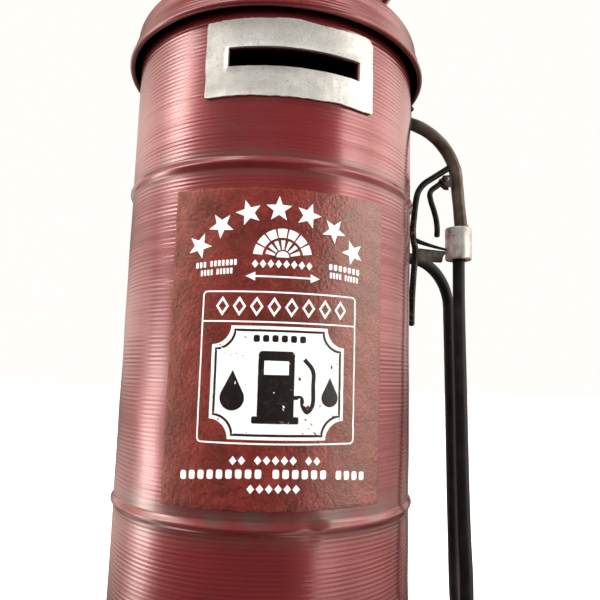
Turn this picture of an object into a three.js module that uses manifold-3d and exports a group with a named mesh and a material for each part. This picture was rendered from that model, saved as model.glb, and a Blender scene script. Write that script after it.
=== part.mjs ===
// A vintage gas pump coin bank in painted tinplate: a rolled drum on a flared foot, a domed cap with a
// flared brim, a round globe standing on the cap, and a nozzle with its hose on the right-hand side.
// Millimetres, +Z up, front facing -Y, nozzle towards +X, origin on the floor under the drum's axis.
import * as THREE from "three";
import { mergeVertices } from "three/addons/utils/BufferGeometryUtils.js";
import Module from "manifold-3d";

const wasm = await Module();
wasm.setup();

// ---------------------------------------------------------------- sizes
const GAP = 0.3; // clearance between neighbouring pieces
const SHEET = 1.2; // tinplate, drawn at this gauge in the drum, foot and cap
const ROUND = 48; // facets round the drum

// drum, from the foot's collar up to the cap's brim
const BODY_R = 57;
const LOWER_H = 52; // collar top to lower bead
const SECTION_H = 114.8; // lower bead to upper bead
const UPPER_H = 52.6; // upper bead to brim
const BEAD_H = 1.0; // how far a rolled bead stands out
const BEAD_W = 4.8;

// foot
const PAD_T = 1.5; // felt disc under the foot
const PLATE_T = 1.0; // tin disc that closes the foot
const FOOT_R = 70.5; // outside of the foot's rolled rim
const FOOT_H = 30; // floor to collar top
const COLLAR_H = 9; // the part of the collar that the drum stands in
const RIM_R = 2.4; // radius of the rolled rim
const PLUG_R = 14.6; // rubber plug, in the hole that coins are taken out by
const PLUG_FLANGE = 2.9; // how much wider its flange is
const PLUG_OFF = 32; // plug's distance behind the axis
const PLUG_H = 8;

// cap
const BRIM_OVER = 4.6; // how far the brim stands out past the drum
const HEM_R = 1.1; // folded edge of the brim
const HEM_POINTS = 4; // points round its outside
const DOME_H = 28.2; // brim edge to top of dome
const CAP_SLEEVE = 12; // how far the drum reaches up into the cap
const CAP_SHEET = 1.0;
const CAP_SHAPE = [
  [0.18, 1.058], [0.3, 1.039], [0.46, 1.026], [0.54, 1.005],
  [0.6, 0.958], [0.7, 0.842], [0.83, 0.632], [0.95, 0.333],
]; // brim to top of dome: share of the dome's height, share of the drum's radius

// globe
const GLOBE_R = 61;
const GLOBE_W = 25; // width of its band
const GLOBE_UP = 91.2; // brim edge to globe centre
const BAND_T = 1.2;
const FACE_T = 1.4;
const FACE_RISE = 3; // crown of each face
const BEZEL_T = 2.0;
const BEZEL_LIP = 5; // how far a bezel covers the face's edge
const SADDLE_R = 22;
const SADDLE_H = 6.5; // height of the saddle above the globe's lowest point
const BOLT_R = 2.2;

// coin slot plate
const PLATE_FROM = -29.3; // degrees round from the front, towards +X positive
const PLATE_TO = 32.7;
const SLOT_PLATE_H = 27.3;
const SLOT_PLATE_T = 1.0;
const PLATE_BELOW_BRIM = 2.9;
const SLOT_FROM = -20.3;
const SLOT_TO = 25.5;
const SLOT_H = 6.9;
const SLOT_DROP = 10.2; // plate top to slot top

// label
const LABEL_HALF = 37.6; // degrees each side of the front
const LABEL_T = 0.5;
const LABEL_ABOVE_BEAD = 5.4;
const LABEL_BELOW_BEAD = 3.8;

// spout, as distances out from the drum's side and down from the spout's root
const SPOUT_DROP = 8.4; // brim edge to spout axis
const SPOUT_R = 2.75;
const SPOUT_INSIDE = 16; // length inside the drum
const SPOUT_REACH = 24; // drum to the spout's upright run
const SPOUT_BEND = 27.65;
const QUARTER_ROUND = 0.5523; // handle length of a quarter circle, as a share of its radius
const SPOUT_LEAN = 1.8; // how far the upright run leans out at the sleeve
const SLEEVE_TOP = 47.2;
const SLEEVE_H = 14.2;
const SLEEVE_R = 5.7;
const SLEEVE_OUT = 24.45;
const SPOUT_IN_SLEEVE = 7;
const HOLE_EASE = 0.85; // extra radius round the spout where its bend starts in the hole
const FLANGE_H = 16;
const FLANGE_W = 13;
const FLANGE_T = 1.2;
const FLANGE_SCREW = 6.2; // spout axis to each screw
const SCREW_R = 1.0;
const SCREW_HEAD_R = 1.4;
const SCREW_HEAD_H = 2.6;
const SCREW_LENGTH = 6;

// trigger and guard
const GUARD_R = 1.4;
const TRIGGER_R = 1.3;
const PIVOT_OUT = 18.0;
const PIVOT_DOWN = 25.9;
const EYE_R = 1.7;
const EYE_W = 2.6;
const PIN_R = 0.6;
const EAR_T = 0.9;
const EAR_OUT = 4.5; // pivot to the ears' ends
const EAR_DOWN = 3.4;
const STRAP_T = 2.4;

// hose, from its grommet on the drum's side to the sleeve
const HOSE_R = 2.6;
const PORT_AT = 108; // degrees round from the front
const PORT_BELOW_BEAD = 12.8; // upper bead to port
const GROMMET_BOSS = 4.7; // drum to grommet nose

// ---------------------------------------------------------------- heights that follow
const LOW_BEAD_Z = FOOT_H + LOWER_H;
const HIGH_BEAD_Z = LOW_BEAD_Z + SECTION_H;
const BRIM_Z = HIGH_BEAD_Z + UPPER_H;
const BODY_Z0 = FOOT_H - COLLAR_H;
const BODY_Z1 = BRIM_Z + CAP_SLEEVE;
const DOME_TOP = BRIM_Z + DOME_H;
const GLOBE_Z = BRIM_Z + GLOBE_UP;
const SPOUT_Z = BRIM_Z - SPOUT_DROP;
const FLOOR_Z = PAD_T + GAP;
const PORT_Z = HIGH_BEAD_Z - PORT_BELOW_BEAD;

// ---------------------------------------------------------------- tools
const radians = THREE.MathUtils.degToRad;

/** A closed geometry as a solid: only its positions are kept, welded, and its faces are turned out. */
function solid(geometry) {
  const bare = new THREE.BufferGeometry();
  bare.setAttribute("position", geometry.getAttribute("position").clone());
  if (geometry.index) bare.setIndex(geometry.index.clone());
  const welded = mergeVertices(bare, 1e-3);
  const points = welded.getAttribute("position").array;
  const faces = new Uint32Array(welded.index.array);
  let volume = 0;
  for (let i = 0; i < faces.length; i += 3) {
    const corner = (k) => new THREE.Vector3().fromArray(points, 3 * faces[i + k]);
    const [a, b, c] = [corner(0), corner(1), corner(2)];
    volume += a.dot(b.cross(c));
  }
  if (volume < 0) {
    for (let i = 0; i < faces.length; i += 3) {
      [faces[i + 1], faces[i + 2]] = [faces[i + 2], faces[i + 1]];
    }
  }
  return new wasm.Manifold(new wasm.Mesh({ numProp: 3, vertProperties: points, triVerts: faces }));
}

/** A solid as a geometry. */
function geometryOf(body) {
  const mesh = body.getMesh();
  const geometry = new THREE.BufferGeometry();
  geometry.setAttribute("position", new THREE.BufferAttribute(mesh.vertProperties, 3));
  geometry.setIndex(new THREE.BufferAttribute(mesh.triVerts, 1));
  geometry.computeVertexNormals();
  return geometry;
}

/** A profile of [radius, height] points turned about +Z. A ring's profile is closed with its first point. */
function turned(profile, segments = ROUND) {
  const points = profile.map(([r, z]) => new THREE.Vector2(r, z));
  const onAxis = profile[0][0] === 0 && profile[profile.length - 1][0] === 0;
  if (!onAxis) points.push(points[0].clone());
  return solid(new THREE.LatheGeometry(points, segments).rotateX(Math.PI / 2));
}

/** A plain cylinder along +Z from z0 to z1. */
function rod(radius, z0, z1, segments = 24) {
  return turned([[0, z0], [radius, z0], [radius, z1], [0, z1]], segments);
}

/** A box between two corners. */
function block(low, high) {
  const size = high.map((v, i) => v - low[i]);
  const middle = high.map((v, i) => (v + low[i]) / 2);
  return solid(new THREE.BoxGeometry(...size).translate(...middle));
}

/** A flat outline of [x, z] points, carried along Y from y0 to y1. */
function slab(outline, y0, y1) {
  const shape = new THREE.Shape(outline.map(([x, z]) => new THREE.Vector2(x, z)));
  const flat = new THREE.ExtrudeGeometry(shape, { depth: y1 - y0, bevelEnabled: false });
  return solid(flat.rotateX(Math.PI / 2).translate(0, y1, 0));
}

/** A round rod of one radius along a curve. */
function along(curve, radius, steps, sides = 12) {
  const ring = Array.from({ length: sides }, (_, i) => {
    const turn = (2 * Math.PI * i) / sides;
    return new THREE.Vector2(radius * Math.cos(turn), radius * Math.sin(turn));
  });
  const options = { steps, extrudePath: curve, bevelEnabled: false };
  return solid(new THREE.ExtrudeGeometry(new THREE.Shape(ring), options));
}

/** A smooth curve through points, which may be [x, z] in the nozzle's plane or [x, y, z]. */
function through(points) {
  const places = points.map((p) => (p.length === 2 ? [p[0], 0, p[1]] : p));
  return new THREE.CatmullRomCurve3(places.map((p) => new THREE.Vector3(...p)), false, "centripetal");
}

/** Points of a rounded rectangle between two corners, with `n` points on each corner. */
function roundedBox(x0, x1, z0, z1, radius, n = 5) {
  const corners = [[x1 - radius, z0 + radius, -90], [x1 - radius, z1 - radius, 0],
    [x0 + radius, z1 - radius, 90], [x0 + radius, z0 + radius, 180]];
  return corners.flatMap(([x, z, start]) => Array.from({ length: n }, (_, i) => {
    const turn = radians(start + (90 * i) / (n - 1));
    return [x + radius * Math.cos(turn), z + radius * Math.sin(turn)];
  }));
}

/** Turns a solid that stands on +Z until it points out from the axis, at an angle round from the front. */
function outwards(body, degrees, height) {
  return body.rotate([0, 90, 0]).rotate([0, 0, degrees - 90]).translate([0, 0, height]);
}

/** Turns a solid that stands on +Z until it points along +X. */
function sideways(body) {
  return body.rotate([0, 90, 0]);
}

/** The place across the front, in X, of an angle round the drum. */
const across = (degrees) => BODY_R * Math.sin(radians(degrees));

/** A ring of sheet wrapped on the drum, between two heights. */
function wrap(thickness, z0, z1) {
  const inner = BODY_R + GAP;
  return turned([[inner, z0], [inner + thickness, z0], [inner + thickness, z1], [inner, z1]]);
}

// ---------------------------------------------------------------- finishes
const FINISHES = {
  redPaint: { color: 0x8a2f2f, roughness: 0.4, metalness: 0.5 },
  labelPrint: { color: 0x7a3428, roughness: 0.6, metalness: 0 },
  pewter: { color: 0xb4b4ac, roughness: 0.4, metalness: 0.9 },
  bronze: { color: 0x4a3b2a, roughness: 0.35, metalness: 0.8 },
  blackIron: { color: 0x1c1a18, roughness: 0.5, metalness: 0.6 },
  steel: { color: 0x8c8c88, roughness: 0.4, metalness: 0.9 },
  rubber: { color: 0x171717, roughness: 0.6, metalness: 0 },
  felt: { color: 0x2c2c2a, roughness: 1, metalness: 0 },
  globePaint: { color: 0xe6dfcd, roughness: 0.4, metalness: 0 },
};
const group = new THREE.Group();

/** Adds one named piece with its own material. */
function piece(name, body, finish, parent = group) {
  const mesh = new THREE.Mesh(geometryOf(body), new THREE.MeshStandardMaterial(FINISHES[finish]));
  mesh.name = name;
  parent.add(mesh);
}

// ---------------------------------------------------------------- foot
/** The foot: a spun skirt with a rolled rim, a collar round the drum and a ledge under the drum. */
function foot() {
  const inner = BODY_R + GAP;
  const outer = inner + SHEET;
  const rimMiddle = FOOT_R - RIM_R;
  const rimBottom = PAD_T - PLATE_T;
  const ledge = BODY_Z0 - GAP;
  const inside = rimMiddle - RIM_R;
  return turned([
    [inner, FOOT_H], [outer - 0.4, FOOT_H], [outer, FOOT_H - 0.5], [outer, FOOT_H - COLLAR_H + 3],
    [outer + 0.9, FOOT_H - COLLAR_H], [outer + 3.0, ledge - 4.5], [outer + 6.2, ledge - 9.5],
    ...arc(rimMiddle, rimBottom + RIM_R, RIM_R, 80, -90, 6),
    [inside, rimBottom], [inside, rimBottom + 2 * RIM_R],
    [outer + 5.0, ledge - 9.8], [outer + 1.8, ledge - 4.8], [outer - 0.4, ledge - SHEET],
    [BODY_R - 2.6, ledge - SHEET], [BODY_R - 2.6, ledge], [inner, ledge],
  ]);
}

/** Points on an arc of a profile, from one angle to another in degrees. */
function arc(r, z, radius, from, to, n) {
  return Array.from({ length: n }, (_, i) => {
    const turn = radians(from + ((to - from) * i) / (n - 1));
    return [r + radius * Math.cos(turn), z + radius * Math.sin(turn)];
  });
}

const plugHole = (clear, z0, z1) => rod(PLUG_R + clear, z0, z1, 40).translate([0, PLUG_OFF, 0]);
const closingR = FOOT_R - 2 * RIM_R - GAP;
const plugBottom = PAD_T - PLATE_T + 0.2;

const closingDisc = turned([
  [0, FLOOR_Z], [closingR, FLOOR_Z], [closingR, FLOOR_Z + 3.6], [closingR - PLATE_T, FLOOR_Z + 3.6],
  [closingR - PLATE_T, FLOOR_Z + PLATE_T], [0, FLOOR_Z + PLATE_T],
]);
const pad = turned([[0, 0], [closingR - 0.5, 0], [closingR - 0.5, PAD_T], [0, PAD_T]]);

/** The rubber plug: a flange under the closing disc, a round body, and a finger bar across its hollow. */
function coinPlug() {
  const hollowR = PLUG_R - 3.2;
  const hollowTop = plugBottom + 5;
  const body = turned([
    [0, plugBottom + PLUG_H], [PLUG_R - 1.2, plugBottom + PLUG_H], [PLUG_R, plugBottom + PLUG_H - 1.6],
    [PLUG_R, FLOOR_Z - GAP], [PLUG_R + PLUG_FLANGE, FLOOR_Z - GAP], [PLUG_R + PLUG_FLANGE, plugBottom],
    [hollowR, plugBottom], [hollowR, hollowTop], [0, hollowTop],
  ], 40);
  const bar = block([-hollowR - 0.5, -2, plugBottom + 0.4], [hollowR + 0.5, 2, hollowTop - 1.6]);
  return body.add(bar).translate([0, PLUG_OFF, 0]);
}

piece("foot", foot(), "redPaint");
piece("closing_disc", closingDisc.subtract(plugHole(0.4, 0, FLOOR_Z + 5)), "steel");
piece("felt_pad", pad.subtract(plugHole(PLUG_FLANGE + 0.6, -1, PAD_T + 1)), "felt");
piece("coin_plug", coinPlug(), "rubber");

// ---------------------------------------------------------------- drum
/** Outside of one rolled bead, upwards, as a raised half wave. */
function bead(z) {
  const swell = (t) => BEAD_H * Math.cos(Math.PI * t) ** 2;
  return [-0.5, -0.3, 0, 0.3, 0.5].map((t) => [BODY_R + swell(t), z + BEAD_W * t]);
}

/** The same bead on the inside of the sheet, downwards. */
const beadInside = (z) => bead(z).map(([r, h]) => [r - SHEET, h]).reverse();

const plateTop = BRIM_Z - PLATE_BELOW_BRIM;
const slotTop = plateTop - SLOT_DROP;
const slotBox = (grow) => block(
  [across(SLOT_FROM) - grow, -BODY_R - 10, slotTop - SLOT_H - grow],
  [across(SLOT_TO) + grow, -BODY_R / 2, slotTop + grow],
);
const spoutHoleR = SPOUT_R + HOLE_EASE;
const portHoleR = HOSE_R + 2;
const flangeScrews = [FLANGE_SCREW, -FLANGE_SCREW];

/** What is bored through the wall for the spout and its two screws. */
function spoutBores() {
  const bore = (radius, up, sides) =>
    sideways(rod(radius, 0, BODY_R + 10, sides)).translate([0, 0, SPOUT_Z + up]);
  return [bore(spoutHoleR, 0, 24), ...flangeScrews.map((up) => bore(SCREW_R + GAP, up, 16))];
}

/** The drum: a tube of sheet with two rolled beads, a coin slot, and holes for spout, screws and hose. */
function drum() {
  const inner = BODY_R - SHEET;
  let body = turned([
    [BODY_R, BODY_Z0], ...bead(LOW_BEAD_Z), ...bead(HIGH_BEAD_Z), [BODY_R, BODY_Z1],
    [inner, BODY_Z1], ...beadInside(HIGH_BEAD_Z), ...beadInside(LOW_BEAD_Z), [inner, BODY_Z0],
  ]);
  body = body.subtract(slotBox(0.4));
  for (const bore of spoutBores()) {
    body = body.subtract(bore);
  }
  return body.subtract(outwards(rod(portHoleR + GAP, 0, BODY_R + 5), PORT_AT, PORT_Z));
}

piece("drum", drum(), "redPaint");

// ---------------------------------------------------------------- label and coin slot plate
const labelLow = LOW_BEAD_Z + LABEL_ABOVE_BEAD;
const labelHigh = HIGH_BEAD_Z - BEAD_W - LABEL_BELOW_BEAD;
const labelShape = slab(
  roundedBox(-across(LABEL_HALF), across(LABEL_HALF), labelLow, labelHigh, 0.8, 3),
  -BODY_R - 10,
  0,
);
piece("label_panel", wrap(LABEL_T, labelLow, labelHigh).intersect(labelShape), "labelPrint");

const plateShape = slab(
  roundedBox(across(PLATE_FROM), across(PLATE_TO), plateTop - SLOT_PLATE_H, plateTop, 2.2),
  -BODY_R - 10,
  0,
);
const slotPlate = wrap(SLOT_PLATE_T, plateTop - SLOT_PLATE_H, plateTop).intersect(plateShape);
piece("slot_plate", slotPlate.subtract(slotBox(0)), "pewter");

// ---------------------------------------------------------------- cap
/** Outside of the cap from its hem up to the bolt hole: brim, hollow flare, shoulder and shallow dome. */
function capOutside() {
  const rim = BODY_R + BRIM_OVER;
  const shoulder = CAP_SHAPE.map(([up, share]) => [share * BODY_R, BRIM_Z + up * DOME_H]);
  return [...arc(rim - HEM_R, BRIM_Z + HEM_R, HEM_R, -90, 20, HEM_POINTS), ...shoulder];
}

/** The cap: one sheet thickness inside the outline above. */
function cap() {
  const outside = capOutside();
  const hole = BOLT_R + GAP;
  const top = [hole, DOME_TOP];
  const rim = BODY_R + BRIM_OVER;
  const offset = outside.slice(HEM_POINTS).map(([r, z], i, all) => {
    const [r0, z0] = all[Math.max(0, i - 1)];
    const [r1, z1] = all[Math.min(all.length - 1, i + 1)];
    const length = Math.hypot(r1 - r0, z1 - z0);
    return [r - (CAP_SHEET * (z1 - z0)) / length, z + (CAP_SHEET * (r1 - r0)) / length];
  });
  return turned([
    ...outside, top, [hole, DOME_TOP - CAP_SHEET], ...offset.reverse(),
    ...arc(rim - HEM_R, BRIM_Z + HEM_R, HEM_R, 150, 240, 3),
  ]);
}
piece("cap", cap(), "redPaint");

// ---------------------------------------------------------------- globe
/** Turns a solid made about +Z until it faces -Y, at the globe's centre. */
const facing = (body) => body.rotate([90, 0, 0]).translate([0, 0, GLOBE_Z]);
const half = GLOBE_W / 2;
const globeBottom = GLOBE_Z - GLOBE_R;
const boltHole = (radius, z0, z1) => rod(radius, z0, z1, 20);

const band = facing(turned([
  [GLOBE_R, -half], [GLOBE_R, half], [GLOBE_R - BAND_T, half], [GLOBE_R - BAND_T, -half],
]));

/** One face of the globe: a thin crowned disc seated in the end of the band. */
function face(side) {
  const seatR = GLOBE_R - BAND_T - GAP;
  const back = half - FACE_T - 1.6;
  const rise = [[0, 1], [0.4, 0.84], [0.75, 0.44], [1, 0]];
  const front = rise.map(([r, h]) => [r * seatR, side * (back + FACE_T + FACE_RISE * h)]);
  const rear = rise.map(([r, h]) => [r * seatR, side * (back + FACE_RISE * h)]).reverse();
  return facing(turned([...front, ...rear], 44));
}

/** One bezel: a ring that caps the band's edge and turns in over the face. */
function bezel(side) {
  const outer = GLOBE_R + BEZEL_T;
  const lipR = GLOBE_R - BAND_T - BEZEL_LIP;
  const profile = [
    [outer, half - 3.4], [outer, half + 0.9], [outer - 1.1, half + BEZEL_T], [lipR + 0.6, half + BEZEL_T],
    [lipR, half + 0.9], [GLOBE_R - BAND_T - 1.2, half + GAP],
    [GLOBE_R + GAP, half + GAP], [GLOBE_R + GAP, half - 3.4],
  ];
  return facing(turned(profile.map(([r, z]) => [r, side * z]), 44));
}

/** The saddle: a short spun cup on top of the dome, cut to the globe's curve. */
function saddle() {
  const top = globeBottom + SADDLE_H;
  const drop = 2.0;
  const cup = turned([
    [BOLT_R + GAP, DOME_TOP + GAP], [SADDLE_R, DOME_TOP - drop], [SADDLE_R + 2.5, DOME_TOP - drop - 0.2],
    [SADDLE_R + 3.2, DOME_TOP - drop + 1.2], [SADDLE_R, DOME_TOP + 2], [SADDLE_R - 1.6, top - 2],
    [SADDLE_R - 0.6, top - 0.8], [SADDLE_R - 1.2, top], [BOLT_R + GAP, top],
  ], 48);
  const room = facing(rod(GLOBE_R + BEZEL_T + GAP, -half - 10, half + 10, 96));
  const dome = turned([[0, 0], ...capOutside().map(([r, z]) => [r, z + GAP]), [0, DOME_TOP + GAP]]);
  return cup.subtract(room).subtract(dome);
}

const headTop = globeBottom + BAND_T + GAP + 2.4;
const boltEnd = DOME_TOP - 12;
const washer = turned([
  [BOLT_R + GAP, DOME_TOP - 4.0], [7, DOME_TOP - 4.0], [7, DOME_TOP - 3.0], [BOLT_R + GAP, DOME_TOP - 3.0],
], 28);
const nutTop = DOME_TOP - 4.3;
const nut = rod(4.4, nutTop - 3.4, nutTop, 6).subtract(rod(BOLT_R + GAP, nutTop - 5, nutTop + 1, 20));
const bolt = turned([
  [0, boltEnd], [BOLT_R, boltEnd], [BOLT_R, headTop - 2.4],
  [4.4, headTop - 2.4], [4.0, headTop - 0.8], [2.4, headTop], [0, headTop],
], 20);

piece("globe_saddle", saddle(), "redPaint");
piece("globe_band", band.subtract(boltHole(BOLT_R + GAP, globeBottom - 5, globeBottom + 10)), "redPaint");
for (const [side, name] of [[1, "front"], [-1, "back"]]) {
  piece(`globe_face_${name}`, face(side), "globePaint");
  piece(`globe_bezel_${name}`, bezel(side), "redPaint");
}
piece("globe_bolt", bolt, "steel");
piece("globe_washer", washer, "steel");
piece("globe_nut", nut, "steel");

// ---------------------------------------------------------------- spout flange
/** The oval plate on the drum's side that the spout plugs into. */
function spoutFlange() {
  const ring = wrap(FLANGE_T, SPOUT_Z - FLANGE_H, SPOUT_Z + FLANGE_H);
  const outline = roundedBox(-FLANGE_W / 2, FLANGE_W / 2, -FLANGE_H / 2, FLANGE_H / 2, 5);
  const oval = slab(outline, -BODY_R - 10, 0).rotate([0, 0, 90]).translate([0, 0, SPOUT_Z]);
  let plate = ring.intersect(oval);
  for (const bore of spoutBores()) {
    plate = plate.subtract(bore);
  }
  return plate;
}

/** A small round-head screw, pointing into the drum. */
function flangeScrew(up) {
  const seat = BODY_R + GAP + FLANGE_T + GAP;
  const tip = seat - SCREW_LENGTH;
  const crown = seat + SCREW_HEAD_H;
  const screw = turned([
    [0, tip], [SCREW_R, tip], [SCREW_R, seat], [SCREW_HEAD_R, seat],
    [SCREW_HEAD_R, crown - 0.8], [SCREW_HEAD_R * 0.6, crown], [0, crown],
  ], 16);
  return sideways(screw).translate([0, 0, SPOUT_Z + up]);
}

piece("spout_flange", spoutFlange(), "blackIron");
piece("flange_screw_top", flangeScrew(flangeScrews[0]), "blackIron");
piece("flange_screw_bottom", flangeScrew(flangeScrews[1]), "blackIron");

// ---------------------------------------------------------------- nozzle
// Its pieces stand in the plane Y = 0 of a group at the spout's root, x out from the drum and z up.
const nozzle = new THREE.Group();
nozzle.position.set(BODY_R, 0, SPOUT_Z);
group.add(nozzle);

/** The spout's centreline: straight through the wall, round the bend and down, leaning out a little. */
function spoutPath(from, to) {
  const path = new THREE.CurvePath();
  const bendX = SPOUT_REACH - SPOUT_BEND;
  const at = (x, z) => new THREE.Vector3(x, 0, z);
  const bend = new THREE.CubicBezierCurve3(
    at(bendX, 0),
    at(bendX + QUARTER_ROUND * SPOUT_BEND, 0),
    at(SPOUT_REACH, (QUARTER_ROUND - 1) * SPOUT_BEND),
    at(SPOUT_REACH, -SPOUT_BEND),
  );
  const lean = SPOUT_LEAN / (SLEEVE_TOP - SPOUT_BEND);
  const end = at(SPOUT_REACH + lean * (-to - SPOUT_BEND), to);
  path.add(new THREE.LineCurve3(at(from, 0), at(bendX, 0)));
  path.add(bend);
  path.add(new THREE.LineCurve3(at(SPOUT_REACH, -SPOUT_BEND), end));
  return path;
}

/** The spout, or the room it needs when grown by a clearance. */
const spout = (grow, steps = 34) => along(
  spoutPath(-SPOUT_INSIDE - grow, -SLEEVE_TOP - SPOUT_IN_SLEEVE - grow),
  SPOUT_R + grow,
  steps,
  12,
);

/** The sleeve that joins spout to hose. */
function sleeve() {
  const top = -SLEEVE_TOP;
  const bottom = top - SLEEVE_H;
  const body = turned([
    [0, bottom], [SLEEVE_R - 0.6, bottom], [SLEEVE_R, bottom + 0.6],
    [SLEEVE_R, top - 0.6], [SLEEVE_R - 0.6, top], [0, top],
  ], 32);
  return body.translate([SLEEVE_OUT, 0, 0]).subtract(spout(GAP));
}

const guardLine = through([
  [20.4, -19.8], [17.0, -22.2], [12.4, -25.4], [9.0, -27.9], [6.4, -31.6], [5.2, -36.6], [4.5, -43],
  [4.0, -49.2], [4.3, -53.6], [5.0, -57.2], [4.8, -62.5], [4.2, -71], [3.7, -80], [3.5, -90],
]);
const guard = (grow) => along(guardLine, GUARD_R + grow, 30, 8);

/** The strap that ties guard to sleeve: a flat plate with a hollow top edge and a notch at the sleeve. */
function strap() {
  const outline = [
    [5.2, -53.2], [5.2, -62.6], [16.8, -62.6], [17.3, -60.2], [19.2, -58.4], [19.2, -56.9],
    [13.0, -56.5], [9.4, -55.8], [7.2, -54.6],
  ];
  const plate = slab(outline, -STRAP_T / 2, STRAP_T / 2);
  const room = rod(SLEEVE_R + GAP, -SLEEVE_TOP - SLEEVE_H - 5, -SLEEVE_TOP + 5, 32);
  return plate.subtract(guard(GAP)).subtract(room.translate([SLEEVE_OUT, 0, 0]));
}

/** A pin along Y through the trigger's pivot. */
const atPivot = (radius, halfLength, segments) =>
  rod(radius, -halfLength, halfLength, segments).rotate([90, 0, 0]).translate([PIVOT_OUT, 0, -PIVOT_DOWN]);

const earInside = EYE_W / 2 + GAP;
const earOutside = earInside + EAR_T;

/** The clevis on the spout: two ears joined by a web below the trigger's eye. */
function clevis() {
  const near = (dx, dz) => [PIVOT_OUT + dx, dz - PIVOT_DOWN];
  const tab = [
    near(-1.2, 1.6), near(-2.0, 0), near(-1.2, -1.7),
    near(0.9, -EAR_DOWN), near(EAR_OUT, -EAR_DOWN), near(EAR_OUT, 2.0),
  ];
  const webTop = EAR_T - EAR_DOWN;
  const web = slab([
    near(0.9, -EAR_DOWN), near(EAR_OUT, -EAR_DOWN), near(EAR_OUT, webTop), near(0.9, webTop),
  ], -earOutside, earOutside);
  const ears = slab(tab, -earOutside, -earInside).add(slab(tab, earInside, earOutside)).add(web);
  return ears.subtract(spout(GAP)).subtract(atPivot(PIN_R + GAP, 6, 16)).subtract(guard(GAP));
}

/** The pin: a shank with a head at each end. */
function pivotPin() {
  const end = earOutside + GAP;
  const head = atPivot(1.2, end + 0.6, 16).subtract(atPivot(2, end, 16));
  return atPivot(PIN_R, end + 0.3, 16).add(head);
}

/** The trigger: a bent rod with an eye at its upper end. */
function trigger() {
  const line = through([
    [PIVOT_OUT - 1.2, -PIVOT_DOWN - 0.9], [14.6, -28.7], [12.3, -30.7], [11.6, -32.4],
    [12.0, -35.2], [13.4, -39.6], [14.5, -44], [14.9, -48], [14.8, -50.9],
  ]);
  const body = along(line, TRIGGER_R, 18, 8).add(atPivot(EYE_R, EYE_W / 2, 20));
  return body.subtract(atPivot(PIN_R + GAP, 6, 16));
}

piece("spout_tube", spout(0), "bronze", nozzle);
piece("nozzle_sleeve", sleeve(), "pewter", nozzle);
piece("trigger_guard", guard(0).subtract(spout(GAP)), "blackIron", nozzle);
piece("guard_strap", strap(), "steel", nozzle);
piece("trigger_clevis", clevis(), "steel", nozzle);
piece("trigger_pin", pivotPin(), "steel", nozzle);
piece("trigger", trigger(), "blackIron", nozzle);

// ---------------------------------------------------------------- hose
/** The rubber grommet in the drum's side: a flange each side of the wall and a short nose for the hose. */
function grommet() {
  const wall = BODY_R - SHEET;
  const flangeR = portHoleR + 1.6;
  const profile = [
    [0, wall - 2.2], [flangeR, wall - 2.2], [flangeR, wall - 0.7], [portHoleR, wall - 0.6],
    [portHoleR, BODY_R + GAP], [flangeR, BODY_R + GAP], [flangeR - 0.3, BODY_R + 1.6],
    [HOSE_R + 1.2, BODY_R + 2.2], [HOSE_R + 0.7, BODY_R + GROMMET_BOSS], [0, BODY_R + GROMMET_BOSS],
  ];
  return outwards(turned(profile, 28), PORT_AT, PORT_Z);
}
piece("hose_grommet", grommet(), "rubber");

// The hose arches out of its grommet, hangs down the outer run, turns in a loop beside the foot, and
// climbs the inner run into the sleeve.
const hoseLine = through([
  [58.97, 19.16, PORT_Z], [62.8, 20.4, PORT_Z], [67.0, 21.8, 183.9], [74.1, 24.1, 182.7],
  [80.4, 26.1, 178.9], [85.1, 27.7, 173.0], [87.6, 28.5, 165.8],
  [88.1, 28.7, 156.0], [88.5, 28.9, 142.0], [89.2, 29.6, 118.0], [89.9, 30.5, 95.0], [90.6, 31.4, 72.0],
  [91.4, 32.3, 52.0], [91.5, 32.1, 42.0], [90.2, 27.6, 31.0], [87.7, 18.8, 23.4], [84.6, 8.6, 21.2],
  [81.5, -2.0, 23.6], [79.0, -10.6, 31.4], [77.8, -15.0, 42.5], [77.6, -15.4, 54.0],
  [77.7, -13.6, 68.0], [78.0, -11.8, 84.0], [78.6, -9.5, 102.0], [79.4, -6.8, 121.0],
  [80.2, -4.0, 141.0], [81.0, -1.4, 160.0], [81.5, -0.2, 172.0], [81.6, 0.0, 179.3],
]);
piece("hose", along(hoseLine, HOSE_R, 44, 8), "rubber");

export default group;
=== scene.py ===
"""A vintage gas pump coin bank in painted tinplate, seen from low down in front.

Shapes are surfaces worked out as whole arrays in millimetres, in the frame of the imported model: +Z up, front
facing -Y, nozzle towards +X. Each one is written to its mesh in metres."""

import bpy
import numpy as np
from mathutils import Matrix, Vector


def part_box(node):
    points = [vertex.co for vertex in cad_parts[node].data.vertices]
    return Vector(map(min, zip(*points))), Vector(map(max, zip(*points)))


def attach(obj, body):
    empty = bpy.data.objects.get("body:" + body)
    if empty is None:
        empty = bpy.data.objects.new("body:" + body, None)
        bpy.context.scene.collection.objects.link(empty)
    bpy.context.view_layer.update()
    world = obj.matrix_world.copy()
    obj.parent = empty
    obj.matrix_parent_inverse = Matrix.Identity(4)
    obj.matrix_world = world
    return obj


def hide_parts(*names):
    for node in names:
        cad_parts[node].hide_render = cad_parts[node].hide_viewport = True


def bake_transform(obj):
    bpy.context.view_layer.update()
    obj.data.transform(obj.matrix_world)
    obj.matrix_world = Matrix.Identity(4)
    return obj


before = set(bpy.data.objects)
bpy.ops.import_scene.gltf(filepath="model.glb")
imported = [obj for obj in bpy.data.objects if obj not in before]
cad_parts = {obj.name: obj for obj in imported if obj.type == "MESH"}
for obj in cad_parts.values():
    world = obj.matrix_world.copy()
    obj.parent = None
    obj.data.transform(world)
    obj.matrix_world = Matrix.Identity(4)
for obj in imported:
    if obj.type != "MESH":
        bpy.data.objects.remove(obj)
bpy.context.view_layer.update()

MM = 0.001
pi = np.pi


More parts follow.
